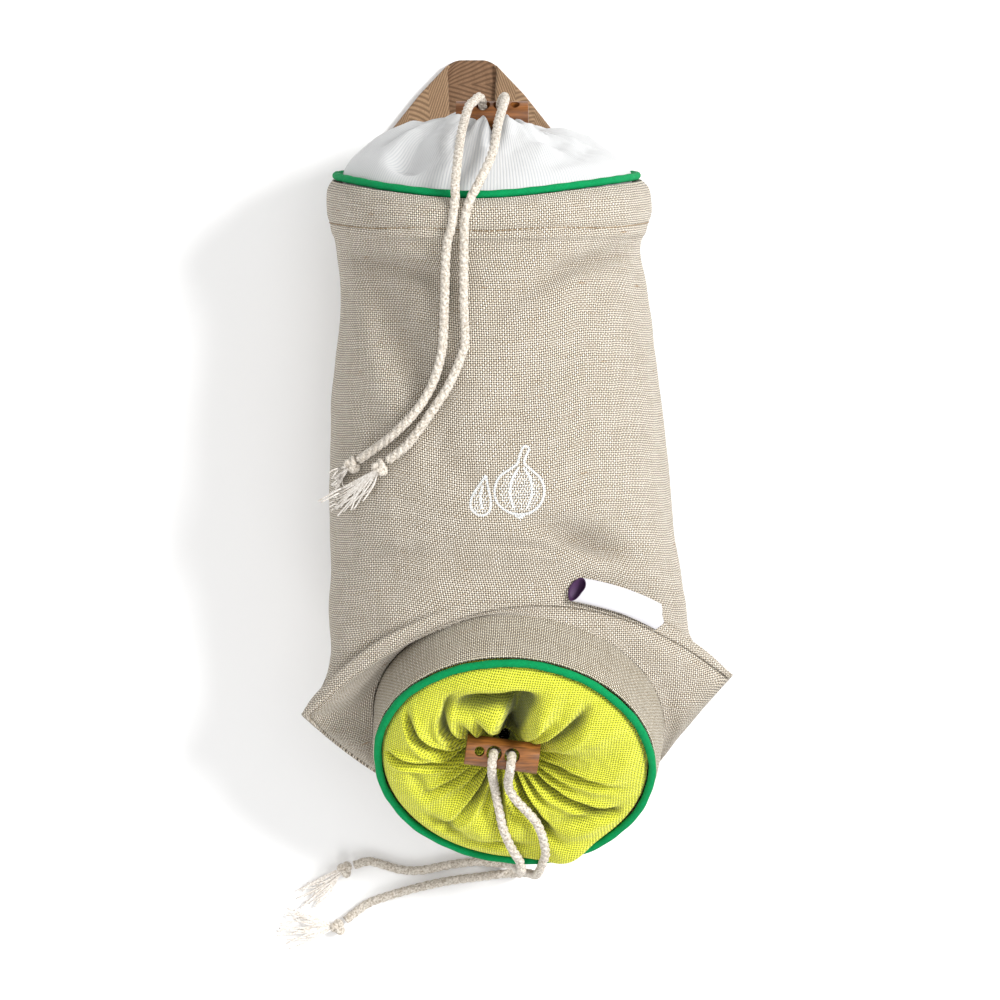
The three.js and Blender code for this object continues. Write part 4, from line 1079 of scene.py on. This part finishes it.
# Single creases of a cover: at and drift give its angle in degrees at the hole and how far it
# swings by the sewn edge, start and stop are shares of the radius, wide and deep in metres.
Crease = namedtuple("Crease", "at drift start stop wide deep")
MOUTH_CREASES = [
    Crease(84, 6, 0.16, 0.76, 0.0026, 0.0100),  # the deep fold above the toggle
    Crease(60, 8, 0.14, 0.60, 0.0011, 0.0036),
    Crease(42, 16, 0.14, 0.86, 0.0013, 0.0046),  # long fold at the upper right
    Crease(22, 10, 0.12, 0.50, 0.0010, 0.0030),
    Crease(4, -10, 0.10, 0.78, 0.0010, 0.0034),
    Crease(-11, -2, 0.10, 0.48, 0.0009, 0.0034),
    Crease(-25, 2, 0.10, 0.90, 0.0011, 0.0042),  # long fold at the lower right
    Crease(-41, 4, 0.10, 0.44, 0.0009, 0.0036),
    Crease(-56, -4, 0.10, 0.66, 0.0010, 0.0034),
    Crease(-71, 4, 0.10, 0.38, 0.0009, 0.0034),
    Crease(-86, -6, 0.10, 0.56, 0.0010, 0.0034),
    Crease(-100, -10, 0.10, 0.36, 0.0010, 0.0034),
    Crease(-116, -12, 0.10, 0.70, 0.0010, 0.0040),
    Crease(-134, -6, 0.10, 0.40, 0.0010, 0.0034),
    Crease(-152, 2, 0.10, 0.62, 0.0010, 0.0034),
    Crease(-167, 4, 0.10, 0.42, 0.0010, 0.0030),
    Crease(182, -2, 0.09, 0.98, 0.0009, 0.0056),  # three long folds at the left
    Crease(173, -24, 0.10, 0.92, 0.0010, 0.0058),
    Crease(160, -46, 0.12, 0.80, 0.0012, 0.0052),
    Crease(134, -16, 0.14, 0.52, 0.0012, 0.0032),
    Crease(112, 14, 0.14, 0.60, 0.0014, 0.0034),
]
TOP_CREASES = [
    Crease(92, -4, 0.2, 0.66, 0.0020, 0.0060),  # the fold beside the right cord
    Crease(76, -8, 0.2, 0.58, 0.0022, 0.0030),
    Crease(64, 10, 0.24, 0.74, 0.0028, 0.0024),
    Crease(112, 12, 0.24, 0.62, 0.0026, 0.0022),
    Crease(130, 12, 0.3, 0.86, 0.0034, 0.0026),
    Crease(44, 6, 0.3, 0.9, 0.0030, 0.0022),
    Crease(20, 4, 0.2, 0.8, 0.003, 0.002),
    Crease(154, 4, 0.25, 0.86, 0.0035, 0.0024),
    Crease(178, -4, 0.2, 0.85, 0.003, 0.002),
    Crease(205, 5, 0.2, 0.8, 0.003, 0.002),
    Crease(232, -4, 0.2, 0.85, 0.003, 0.0022),
    Crease(262, 4, 0.2, 0.8, 0.003, 0.002),
    Crease(290, -3, 0.2, 0.85, 0.003, 0.0022),
    Crease(322, 4, 0.2, 0.8, 0.003, 0.002),
    Crease(350, -4, 0.2, 0.75, 0.003, 0.002),
]

# Hollows and puffs that don't run to the hole: x and y from the middle of the opening, long and
# broad in metres, turn in degrees from x, deep in metres and negative for a puff.
Hollow = namedtuple("Hollow", "x y long broad turn deep")
MOUTH_HOLLOWS = [
    Hollow(0.0040, -0.0240, 0.0070, 0.0042, 60, -0.0026),
    Hollow(-0.0080, -0.0280, 0.0080, 0.0045, -60, -0.0026),
    Hollow(-0.0020, -0.0345, 0.0100, 0.0020, 6, 0.0026),
    Hollow(0.0120, -0.0250, 0.0085, 0.0022, -40, 0.0030),
    Hollow(-0.0200, -0.0290, 0.0090, 0.0022, -32, 0.0026),
    Hollow(-0.0290, -0.0120, 0.0080, 0.0022, -62, 0.0020),
    Hollow(0.0330, 0.0040, 0.0090, 0.0040, 50, -0.0016),
    Hollow(-0.0330, 0.0140, 0.0090, 0.0036, 60, -0.0014),
    Hollow(-0.0085, 0.0295, 0.0115, 0.0036, 12, 0.0085),  # in the shade over the deep fold
    Hollow(-0.0100, 0.0375, 0.0120, 0.0040, 8, -0.0022),  # the roll beyond it
    Hollow(-0.0105, 0.0215, 0.0060, 0.0038, 10, -0.0026),  # the puff next to the toggle
    Hollow(0.0075, 0.0260, 0.0120, 0.0030, 76, -0.0026),  # the upright roll right of the fold
    Hollow(0.0230, 0.0175, 0.0110, 0.0040, 38, -0.0018),
    Hollow(0.0290, -0.0160, 0.0110, 0.0026, 24, 0.0030),  # slanting tuck at the lower right
    Hollow(0.0250, -0.0235, 0.0100, 0.0034, 30, -0.0020),
    Hollow(0.0200, -0.0330, 0.0070, 0.0030, 8, -0.0024),  # cloth swelling over the piping
    Hollow(-0.0240, -0.0190, 0.0110, 0.0060, -30, -0.0016),
    Hollow(-0.0300, 0.0030, 0.0100, 0.0030, 4, -0.0012),
]
TOP_HOLLOWS = [
    Hollow(-0.0200, 0.0200, 0.0090, 0.0040, 50, 0.0022),
    Hollow(-0.0330, 0.0120, 0.0090, 0.0040, 80, 0.0020),
    Hollow(0.0250, 0.0300, 0.0085, 0.0048, -58, 0.0048),  # soft hollow at the left shoulder
    Hollow(0.0150, 0.0390, 0.0080, 0.0030, -30, -0.0012),
    Hollow(-0.0240, 0.0300, 0.0100, 0.0040, 60, 0.0018),
    Hollow(-0.0120, 0.0190, 0.0070, 0.0035, 20, -0.0018),  # flap beside the toggle's end
]


def crease_depth(creases, angle, out, radius):
    """Depth of the creases at a place: each is a sharp valley with a soft roll on both sides."""
    depth = 0.0
    for crease in creases:
        if not crease.start - 0.12 < out < crease.stop + 0.12:
            continue
        aim = math.radians(crease.at + crease.drift * out ** 2)
        turned = math.atan2(math.sin(angle - aim), math.cos(angle - aim))
        away = abs(turned) * max(out, 0.12) * radius / (crease.wide * (0.75 + out))
        if away > 4:
            continue
        fade = min(1.0, max(0.0, (out - crease.start + 0.1) / 0.2))
        fade *= min(1.0, max(0.0, (crease.stop + 0.1 - out) / 0.25))
        shape = math.exp(-away ** 1.4) - 0.34 * math.exp(-((away - 2.0) / 0.9) ** 2)
        depth += crease.deep * fade * shape
    return depth


def hollow_depth(hollows, x, y):
    """Depth of the hollows at a place, less than 0 on a puff."""
    depth = 0.0
    for hollow in hollows:
        turn = math.radians(hollow.turn)
        dx, dy = x - hollow.x, y - hollow.y
        lengthwise = (dx * math.cos(turn) + dy * math.sin(turn)) / hollow.long
        crosswise = (dy * math.cos(turn) - dx * math.sin(turn)) / hollow.broad
        depth += hollow.deep * math.exp(-lengthwise ** 2 - crosswise ** 2)
    return depth


def cover_point(cover, profile, creases, hollows, half, toggle, share, angle):
    """A point of a gathered cover in its opening's axes, and how deep in a fold it lies, for its
    painted shade.
    """
    row = row_at(profile, share)
    pleats = math.cos(cover.folds * angle) + 0.5 * math.cos((cover.folds - 4) * angle + 2)
    fine = math.cos(23 * angle + 1.5 * math.sin(3 * angle))
    tight = max(0.0, 0.5 - row.out) / 0.5
    wave = 0.4 * cover.deep * row.fold * pleats / 1.5 + 0.0011 * fine * math.sin(math.pi * tight)
    out_x = max(row.out * half[0], cover.hole)
    out_y = max(row.out * half[1], cover.hole)
    point = Vector((out_x * math.cos(angle), out_y * math.sin(angle), 0))
    point.x += cover.pole_x * (1 - row.out ** 2)
    point.y += cover.pole_y * (1 - row.out ** 2)
    along = (point.x - toggle.x) / cover.valley_long
    off = (point.y - (toggle.y + cover.pole_y) / 2) / cover.valley_wide
    valley = cover.valley * math.exp(-along ** 4 - off ** 2) * min(1.0, (1 - row.out) * 3)
    sunk = 4 * row.out * (1 - row.out) * max(0.0, -math.cos(angle))
    inside = min(1.0, (1 - row.out) * 9)
    depth = crease_depth(creases, angle, row.out, half[0])
    depth = (depth + hollow_depth(hollows, point.x, point.y)) * inside
    crumple = noise.noise(Vector((point.x * 120, point.y * 120, 4.0))) * 0.0007 * row.fold
    crumple += noise.noise(Vector((point.x * 300, point.y * 300, 9.0))) * 0.0003 * row.fold
    point.z = row.high * cover.height + wave - valley - depth - cover.slump * sunk + crumple
    if cover.spill:
        turned = math.degrees(angle - cover.spill_at)
        over = math.exp(-(turned / 13) ** 2 - ((row.out - 0.94) / 0.05) ** 2)
        point.x *= 1 + cover.spill * over
        point.y *= 1 + cover.spill * over
        point.z += 0.0030 * over
    # The depth of its creases and hollows, kept as the amount of painted shade.
    return point, min(1.0, max(0.0, depth / 0.0035))


COVER_ROWS = 104
COVER_AROUND = 360


def cover_piece(name, cover, profile, creases, hollows, half, toggle, matrix, round_weave):
    """A cover gathered to a hole, from a skirt sewn in behind the piping to its drawn-in neck.
    Its weave runs round the opening, or else straight across it."""
    rows, painted_shades = [], []
    for deep in (0.006, 0.003):
        rows.append(oval(half[0], half[1], -deep, COVER_AROUND))
        painted_shades.append([0.0] * COVER_AROUND)
    angles = [2 * math.pi * k / COVER_AROUND for k in range(COVER_AROUND)]
    for i in range(COVER_ROWS + 1):
        made = [cover_point(cover, profile, creases, hollows, half, toggle, i / COVER_ROWS, angle)
                for angle in angles]
        rows.append([point for point, _ in made])
        painted_shades.append([shade for _, shade in made])
    last = rows[-1]
    middle = sum(last, Vector()) / COVER_AROUND
    for tight, deep in ((0.84, 0.0014), (0.7, 0.003), (0.52, 0.005), (0.3, 0.0065)):
        ring = []
        for angle, point in zip(angles, last):
            pucker = 1 + 0.05 * math.cos(23 * angle + 1.5 * math.sin(3 * angle))
            spot = middle + (point - middle) * tight * pucker
            spot.z = point.z * 0.6 + middle.z * 0.4 - deep
            ring.append(spot)
        rows.append(ring)
        # Painted shade: the drawn-in neck is marked darker the deeper it sinks.
        painted_shades.append([min(1.0, deep / 0.004)] * COVER_AROUND)
    along = [-0.006]
    for a, b in zip(rows, rows[1:]):
        along.append(along[-1] + (b[0] - a[0]).length)
    uv_rows = []
    for row, reach in zip(rows, along):
        if round_weave:
            uv_rows.append([(2 * math.pi * half[0] * k / COVER_AROUND, reach)
                            for k in range(COVER_AROUND + 1)])
        else:
            uv_rows.append([(p.x + 0.3 * p.z, p.y - 0.3 * p.z) for p in row + row[:1]])
    rows = [[dipped(matrix @ p) for p in row] for row in rows]
    piece = loft_piece(name, rows, uv_rows)
    painted_shade_depths(piece, painted_shades)
    out = matrix.to_3x3() @ Vector((0, 0, 1))
    return thicken(piece, COVER_CLOTH, lambda p: out)


top_half = (rim_half[0] - PIPING - GAP, rim_half[1] - PIPING - GAP)
mouth_half = (MOUTH_RADIUS - PIPING - GAP, MOUTH_RADIUS - PIPING - GAP)
top_cover = cover_piece("top_cover_cloth", TOP_COVER, TOP_PROFILE, TOP_CREASES, TOP_HOLLOWS,
                        top_half, TOP_TOGGLE, rim_matrix, True)
finish_piece(top_cover, white_cotton)
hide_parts("top_cover")
mouth_cover = cover_piece("mouth_cover_cloth", MOUTH_COVER, MOUTH_PROFILE, MOUTH_CREASES,
                          MOUTH_HOLLOWS, mouth_half, MOUTH_TOGGLE, mouth_matrix, False)
finish_piece(mouth_cover, lime_canvas)
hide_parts("mouth_cover")

# ------------------------------------------------------------------ toggles

# Holes across a toggle, measured from the end with the small spare one
Hole = namedtuple("Hole", "start diameter")
TOGGLE_HOLES = [Hole(0.0044, 0.0032), Hole(0.0092, 0.005), Hole(0.0151, 0.005)]


def wooden_toggle(name, toggle, matrix, node):
    """A turned bar with eased ends; its three holes have softened rims."""
    bpy.ops.mesh.primitive_cylinder_add(vertices=56, radius=TOGGLE_DIAMETER / 2,
                                        depth=TOGGLE_LENGTH, rotation=(0, math.pi / 2, 0))
    bar = bpy.context.object
    bar.name = name
    bpy.ops.object.transform_apply(location=True, rotation=True, scale=True)
    for hole in TOGGLE_HOLES:
        lean = math.pi - math.radians(toggle.lean)
        bpy.ops.mesh.primitive_cylinder_add(
            vertices=28, radius=hole.diameter / 2, depth=TOGGLE_DIAMETER + 0.004,
            location=(hole.start - TOGGLE_LENGTH / 2, 0, 0), rotation=(lean, 0, 0))
        drill = bpy.context.object
        cut = bar.modifiers.new("drilled", "BOOLEAN")
        cut.operation = "DIFFERENCE"
        cut.solver = "EXACT"
        cut.object = drill
        apply_step(bar, cut)
        bpy.data.objects.remove(drill, do_unlink=True)
    ease = bar.modifiers.new("eased_edges", "BEVEL")
    ease.width = 0.00045
    ease.segments = 3
    ease.limit_method = "ANGLE"
    ease.angle_limit = math.radians(38)
    apply_step(bar, ease)
    place = matrix @ Matrix.Translation((toggle.x, toggle.y, toggle.z))
    place = place @ Matrix.Rotation(math.radians(toggle.turn), 4, "Z")
    bar.data.transform(place)
    pick(bar)
    bpy.ops.object.shade_smooth_by_angle(angle=math.radians(35))
    finish_piece(bar, toggle_wood, smooth=False)
    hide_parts(node)


wooden_toggle("top_toggle_wood", TOP_TOGGLE, rim_matrix, "top_toggle")
wooden_toggle("mouth_toggle_wood", MOUTH_TOGGLE, mouth_matrix, "mouth_toggle")

# ------------------------------------------------------------------ hanging loop

LOOP_MIDDLE = (rim.shift - 0.045) * BODY_WIDTH
LOOP_TOP = 0.1367
LOOP_FOOT = 0.1018  # where its legs end, against the foot of the head's rim
LOOP_HALF_TOP = 0.0085  # half the width of its flat top
LOOP_HALF = 0.0285  # half its width where the folds end
LOOP_CORNER = 0.005  # the tape's top corners are worn round over this width
LOOP_SOFT_LENGTH = 0.012  # and the rounding dies out over this length
TAPE_ACROSS = 16
TAPE_ALONG = 40
FOLD_RADIUS = 0.00135
FOLD_WALL = 0.0009
FOLD_STEPS = 32


def tape_piece(name, corners, low, swell, along_start):
    """A flat length of tape between four corners, its rows running along the tape from its
    first edge to its second, with a little ripple."""
    first, second, second_end, first_end = (Vector((*corner, low)) for corner in corners)
    rows, uvs = [], []
    length = (first_end - first).length
    for j in range(TAPE_ALONG + 1):
        share = j / TAPE_ALONG
        near, far = first.lerp(first_end, share), second.lerp(second_end, share)
        row = [near.lerp(far, i / TAPE_ACROSS) for i in range(TAPE_ACROSS + 1)]
        for i, point in enumerate(row):
            edge = math.sin(math.pi * i / TAPE_ACROSS)
            point.z += swell * edge + 0.00012 * (1 + math.sin(j * 0.9))
        rows.append(row)
        uvs.append([(TAPE_WIDTH * i / TAPE_ACROSS, along_start + length * share)
                    for i in range(TAPE_ACROSS + 1)])
    piece = loft_piece(name, rows, uvs, closed=False)
    return thicken(piece, TAPE, lambda p: Vector((0, 0, 1)))


def fold_piece(name, start, end, swell_side):
    """The rounded fold where the tape turns back over itself."""
    start, end = Vector((*start, 0)), Vector((*end, 0))
    ahead = (end - start).normalized()
    side = Vector((ahead.y, -ahead.x, 0)) * swell_side
    rows, uvs = [], []
    for j in range(FOLD_STEPS + 1):
        middle = start.lerp(end, j / FOLD_STEPS)
        ring = []
        for i in range(TAPE_ACROSS + 1):
            angle = math.pi * i / TAPE_ACROSS - math.pi / 2
            ring.append(middle + side * (math.cos(angle) * FOLD_RADIUS)
                        + Vector((0, 0, FOLD_RADIUS + math.sin(angle) * FOLD_RADIUS)))
        rows.append(ring)
        uvs.append([(TAPE_WIDTH * j / FOLD_STEPS, 0.0042 * i / (TAPE_ACROSS + 1))
                    for i in range(TAPE_ACROSS + 1)])
    piece = loft_piece(name, rows, uvs, closed=False)
    return thicken(piece, FOLD_WALL, lambda p: side)


loop_corners = {}
for side in (-1, 1):
    loop_corners[side] = {
        "top": (LOOP_MIDDLE + side * LOOP_HALF_TOP, LOOP_TOP),
        "low": (LOOP_MIDDLE + side * LOOP_HALF, LOOP_TOP - 1.2 * TAPE_WIDTH),
        "outer": (LOOP_MIDDLE + side * 0.027, LOOP_FOOT + min(side, 0) * 2 * PIPING),
        "inner": (LOOP_MIDDLE + side * 0.007, LOOP_FOOT),
    }
left, right = loop_corners[-1], loop_corners[1]
strip = tape_piece("hanging_loop_strip", [left["top"], left["low"], right["low"], right["top"]],
                   TAPE, 0.0, 0.0)
loop_pieces = [strip]
for side, word in ((-1, "left"), (1, "right")):
    corner = loop_corners[side]
    leg = tape_piece("hanging_loop_leg_" + word,
                     [corner["inner"], corner["outer"], corner["low"], corner["top"]],
                     2 * TAPE + GAP, 0.0002, 0.03)
    loop_pieces.append(leg)
    loop_pieces.append(fold_piece("hanging_loop_fold_" + word, corner["top"], corner["low"], side))
for piece in loop_pieces:
    # The strip takes the copy with painted shade, the legs and folds the one with painted light.
    finish_piece(piece, shaded_strip_tape if piece is strip else lit_leg_tape)
pick(*loop_pieces)
bpy.ops.object.join()
strip.name = "hanging_loop_tape"
for vertex in strip.data.vertices:
    above = (vertex.co.y - LOOP_TOP) / LOOP_SOFT_LENGTH + 1
    beyond = (abs(vertex.co.x - LOOP_MIDDLE) - LOOP_HALF_TOP) / LOOP_CORNER + 1
    if above > 0 and beyond > 0:
        vertex.co.y -= 0.4 * LOOP_CORNER * min(beyond, 1) ** 2 * above
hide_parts("hanging_loop")

# ------------------------------------------------------------------ label

LABEL_LENGTH = 0.027
LABEL_HEIGHT = 0.0125  # at its open end
LABEL_BULGE = 0.0046  # from side to side at its open end
# Towards its far end it grows higher and flatter and leans more, by these shares
LABEL_TALLER = 0.36
LABEL_FLATTER = 0.35
LABEL_MORE_LEAN = 0.8
LABEL_CLOTH = 0.0008
LABEL_FROM = 77.5  # degrees round the bag where its open end is
LABEL_AT = 0.988  # and its place along the bag, a share of BODY_LENGTH
LABEL_DROP = 0.022  # its far end lies lower, likewise
LABEL_LEAN = 0.0085  # how far its fold leans over towards the far end
LABEL_PUSHED = 0.0032  # how far the upper side of its open end is pushed back
LABEL_STATIONS = 40
LABEL_SIDES = 40
LABEL_ROUND = 0.026  # the way round it, for the ribbon's weft
LABEL_STEP = 0.00075  # from ring to ring along it, likewise


def share_of(at):
    """The share of the way down the table of sections of a place on BODY_LENGTH."""
    last = next(max(1, i) for i, row in enumerate(SECTIONS) if row.at >= at)
    before = SECTIONS[last - 1]
    return (last - 1 + (at - before.at) / (SECTIONS[last].at - before.at)) / (len(SECTIONS) - 1)


def linen_frame(share, angle):
    """A point of the undented linen and the way out from it."""
    at = linen_point(row_at(SECTIONS, share), angle, dented=False)
    headward = linen_point(row_at(SECTIONS, share - 0.02), angle, dented=False) - at
    around = linen_point(row_at(SECTIONS, share), angle + 0.02, dented=False) - at
    normal = around.cross(headward).normalized()
    return at, normal if normal.z > 0 else -normal


def label_ring(station, cloth):
    """One section of the folded tag, standing from the seam over the linen. It leans a little,
    and its open end is pushed back on the upper side, so that the inside shows."""
    share = station / LABEL_STATIONS
    bulge = LABEL_BULGE * (1 - LABEL_FLATTER * share)
    height = LABEL_HEIGHT * (1 + LABEL_TALLER * share)
    ring = []
    for k in range(LABEL_SIDES):
        phi = 2 * math.pi * k / LABEL_SIDES
        up = height / 2 - (height / 2 - cloth) * math.cos(phi)
        off = bulge / 2 + 1.4 * GAP + (bulge / 2 - cloth) * math.sin(phi)
        at = LABEL_AT + LABEL_DROP * share - up / BODY_LENGTH
        place = share_of(min(1.0, at))
        below = max(0.0, at - 1) * BODY_LENGTH
        mouthward = LABEL_PUSHED * (1 + math.sin(phi)) / 2 * (1 - share) ** 3
        lean = LABEL_LEAN * (1 + LABEL_MORE_LEAN * share) * up / height
        turned = (share * LABEL_LENGTH + lean + mouthward) / (BODY_WIDTH / 2)
        spot, normal = linen_frame(place, math.radians(LABEL_FROM) - turned)
        ring.append(spot + normal * off - Vector((0, below, 0.4 * below)))
    return ring


label_stations = list(range(LABEL_STATIONS + 1))
label_rows = [label_ring(s, 0.0) for s in label_stations]
label_rows += [label_ring(s, LABEL_CLOTH) for s in reversed(label_stations)]
label_faces, label_uvs = [], []
for i in range(len(label_rows)):
    j = (i + 1) % len(label_rows)
    here, ahead = i * LABEL_STEP, (i + 1) * LABEL_STEP
    for k in range(LABEL_SIDES):
        k2 = (k + 1) % LABEL_SIDES
        label_faces.append((i * LABEL_SIDES + k, i * LABEL_SIDES + k2,
                            j * LABEL_SIDES + k2, j * LABEL_SIDES + k))
        a, b = LABEL_ROUND * k / LABEL_SIDES, LABEL_ROUND * (k + 1) / LABEL_SIDES
        label_uvs += [(a, here), (b, here), (b, ahead), (a, ahead)]
label = mesh_piece("side_label_ribbon", [p for row in label_rows for p in row],
                   label_faces, label_uvs)
finish_piece(label, label_white)
label.data.materials.append(label_purple)  # its inside
for index, face in enumerate(label.data.polygons):
    face.material_index = 1 if index // LABEL_SIDES > LABEL_STATIONS else 0
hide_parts("side_label")

# ------------------------------------------------------------------ knots and frayed ends


def knot_piece(knot):
    """The cord's end tied in an overhand knot."""
    middle = Vector(knot.middle)
    line = cord_lines[knot.cord]
    ahead = (middle - line[-8]).normalized()
    side = ahead.cross(Vector((0, 0, 1))).normalized()
    up = side.cross(ahead)
    path = []
    for i in range(60):
        t = 2 * math.pi * i / 60
        x = (math.sin(t) + 1.7 * math.sin(2 * t)) / 3
        y = (math.cos(t) - 1.7 * math.cos(2 * t)) / 3
        z = -math.sin(3 * t) / 3
        path.append(middle + (ahead * x * 0.85 + side * y + up * z * 1.15) * KNOT * 0.36)
    piece = tube_piece(
        knot.cord + "_knot", path, 12,
        lambda along, angle: CORD * 0.36 * (0.86 + 0.2 * abs(math.cos(1.5 * angle))),
        strand_turn, closed=True)
    return finish_piece(piece, rope_cotton)


def stray(reach):
    """A random step to the side, over the table."""
    return Vector((chance.uniform(-1, 1), chance.uniform(-1, 1), 0)) * reach


def frayed_piece(knot):
    """The untwisted threads beyond the knot, fanned out and lying on what is under them."""
    middle = Vector(knot.middle)
    tips = [Vector(tip) for tip in knot.tips]
    points, faces, sides = [], [], 5
    threads = 4 * len(tips) + 3
    centre = sum(tips, Vector()) / len(tips)
    for n in range(threads):
        share = n / (threads - 1) * (len(tips) - 1)
        i = min(int(share), len(tips) - 2)
        tip = tips[i].lerp(tips[i + 1], share - i)
        tip += (tip - middle) * chance.uniform(-0.3, 0.06)
        tip += stray(0.0012)
        start = middle + (centre - middle).normalized() * 0.0012
        start += Vector((chance.uniform(-1, 1), chance.uniform(-1, 1),
                         chance.uniform(-1, 1))) * 0.0007
        bend = start.lerp(tip, 0.5) + stray(0.0016)
        bend.z += 0.0012
        reach = chance.uniform(0.00022, 0.00034)
        line = smooth_line([start, bend, tip], 0.0009)
        for j, spot in enumerate(line):
            ground, _ = linen_height(spot.x, spot.y)
            rise = reach + 0.0002 + 0.0006 * chance.random() * (1 - j / len(line))
            if ground > spot.z - 0.012:
                spot.z = max(spot.z if j < 3 else min(spot.z, ground + 0.0035), ground + rise)
        for j, (_, ring) in enumerate(tube_rings(
                line, sides, lambda along, angle: reach, lambda along: 0.0)):
            first = len(points)
            points += ring
            if j:
                for k in range(sides):
                    a, b = first - sides + k, first - sides + (k + 1) % sides
                    faces.append((a, b, b + sides, a + sides))
            else:
                faces.append(tuple(first + k for k in reversed(range(sides))))
        faces.append(tuple(len(points) - sides + k for k in range(sides)))
    piece = mesh_piece(knot.cord + "_frayed", points, faces)
    return finish_piece(piece, frayed_cotton)


for knot in KNOTS:
    tied = knot_piece(knot)
    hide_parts(knot.cord.replace("cord", "knot"))
    frayed = frayed_piece(knot)

# ------------------------------------------------------------------ embroidery

# A garlic bulb and a loose clove beside it, drawn in millimetres from the middle of the motif
MOTIF_MIDDLE = (-0.0040, -0.0105)
MOTIF_THREAD = 0.00036
SATIN_STEP = 0.0005  # between the short slanting stitches along an outline
MOTIF_LINES = [
    # left side of the bulb, from the stem's tip to the root
    [(5.6, 12.4), (4.6, 9.6), (3.9, 7.2), (1.6, 5.4), (-1.8, 3.0), (-3.4, -1.2), (-2.4, -5.6),
     (1.2, -8.4), (4.6, -9.2)],
    # right side of the bulb
    [(7.8, 12.0), (6.6, 9.4), (6.2, 7.2), (8.4, 5.2), (11.4, 2.4), (12.6, -1.8), (11.2, -6.0),
     (8.0, -8.6), (4.6, -9.2)],
    # the stem's end
    [(5.6, 12.4), (6.8, 12.9), (7.8, 12.0)],
    # two lines between the cloves of the bulb
    [(4.4, 6.0), (2.4, 2.4), (1.6, -2.4), (2.8, -7.2)],
    [(5.8, 6.0), (8.0, 2.6), (8.6, -2.4), (7.0, -7.2)],
    # roots
    [(3.2, -9.4), (4.6, -10.2), (6.2, -9.4)],
    # a loose clove at the left
    [(-6.2, 3.4), (-8.2, 0.4), (-10.6, -3.4), (-11.0, -7.0), (-8.4, -9.4), (-5.4, -8.6),
     (-4.6, -5.2), (-5.4, -1.0), (-6.2, 3.4)],
    [(-7.2, 0.2), (-8.0, -3.6), (-7.4, -7.4)],
]


def motif_place(x, y):
    """Where a place of the motif is over the table."""
    return Vector((MOTIF_MIDDLE[0] + x * 0.001, MOTIF_MIDDLE[1] + y * 0.001, 0))


embroidery = []
for motif_line in MOTIF_LINES:
    flat = smooth_line([motif_place(x, y) for x, y in motif_line], SATIN_STEP)
    for here, ahead in zip(flat, flat[1:]):
        way = (ahead - here).normalized()
        cross = Vector((-way.y, way.x, 0)).lerp(way, 0.25).normalized()
        middle = here.lerp(ahead, 0.5)
        cross *= 0.00042 + chance.uniform(-0.00005, 0.00008)
        ends = []
        for spot in (middle - cross, middle + cross):
            height, up = linen_height(spot.x, spot.y)
            ends.append(Vector((spot.x, spot.y, height + 0.0001)))
        embroidery.append(Stitch(ends[0], ends[1], up))

# Light filling between the outlines: rows of short upright stitches, drawn in millimetres
Filling = namedtuple("Filling", "x y wide high")
for patch in (Filling(4.8, -1.8, 6.6, 6.4), Filling(-7.9, -5.2, 2.4, 3.6)):
    for row in range(-7, 8):
        for column in range(-9, 10):
            x, y = column * 0.95 + (row % 2) * 0.47, row * 0.95
            if (x / patch.wide) ** 2 + (y / patch.high) ** 2 > 1:
                continue
            spot = motif_place(patch.x + x, patch.y + y)
            half_stitch = Vector((0.00012, 0.00030, 0))
            height, up = linen_height(spot.x, spot.y)
            spot.z = height + 0.00005
            embroidery.append(Stitch(spot - half_stitch, spot + half_stitch, up))
motif = stitch_piece("garlic_embroidery", embroidery, MOTIF_THREAD, white_thread)

# ------------------------------------------------------------------ table and light

floor_material = new_material("white_paper")
paper = add(floor_material, "BsdfPrincipled", named={
    "Base Color": linear("FAFAFA"), "Roughness": 0.9})
close_material(floor_material, paper)
bpy.ops.mesh.primitive_plane_add(size=6, location=(0, 0, -0.0002))
floor = bpy.context.object
floor.name = "table"
floor.data.materials.append(floor_material)


def soft_light(name, place, aim, size, power):
    """A round studio light: its diameter in metres and its power in watts."""
    data = bpy.data.lights.new(name, "AREA")
    data.shape = "DISK"
    data.size = size
    data.energy = power
    light = bpy.data.objects.new(name, data)
    light.location = place
    light.rotation_euler = (Vector(aim) - Vector(place)).to_track_quat("-Z", "Y").to_euler()
    bpy.context.scene.collection.objects.link(light)


soft_light("key_from_the_right", (0.95, 0.3, 1.1), (0, 0, 0.04), 0.5, 25)
soft_light("fill_from_the_left", (-1.2, 0.2, 1.0), (0, 0, 0.04), 1.2, 6)
soft_light("front_from_the_foot", (-0.1, -1.3, 1.0), (0, -0.05, 0.04), 0.9, 9)
soft_light("above_the_camera", (0, 0.1, 2.2), (0, 0, 0), 1.6, 8)

sky = bpy.data.worlds.new("studio")
sky.use_nodes = True
sky.node_tree.nodes["Background"].inputs["Color"].default_value = (1, 1, 1, 1)
sky.node_tree.nodes["Background"].inputs["Strength"].default_value = 0.44
bpy.context.scene.world = sky
bpy.context.scene.view_settings.view_transform = "Standard"
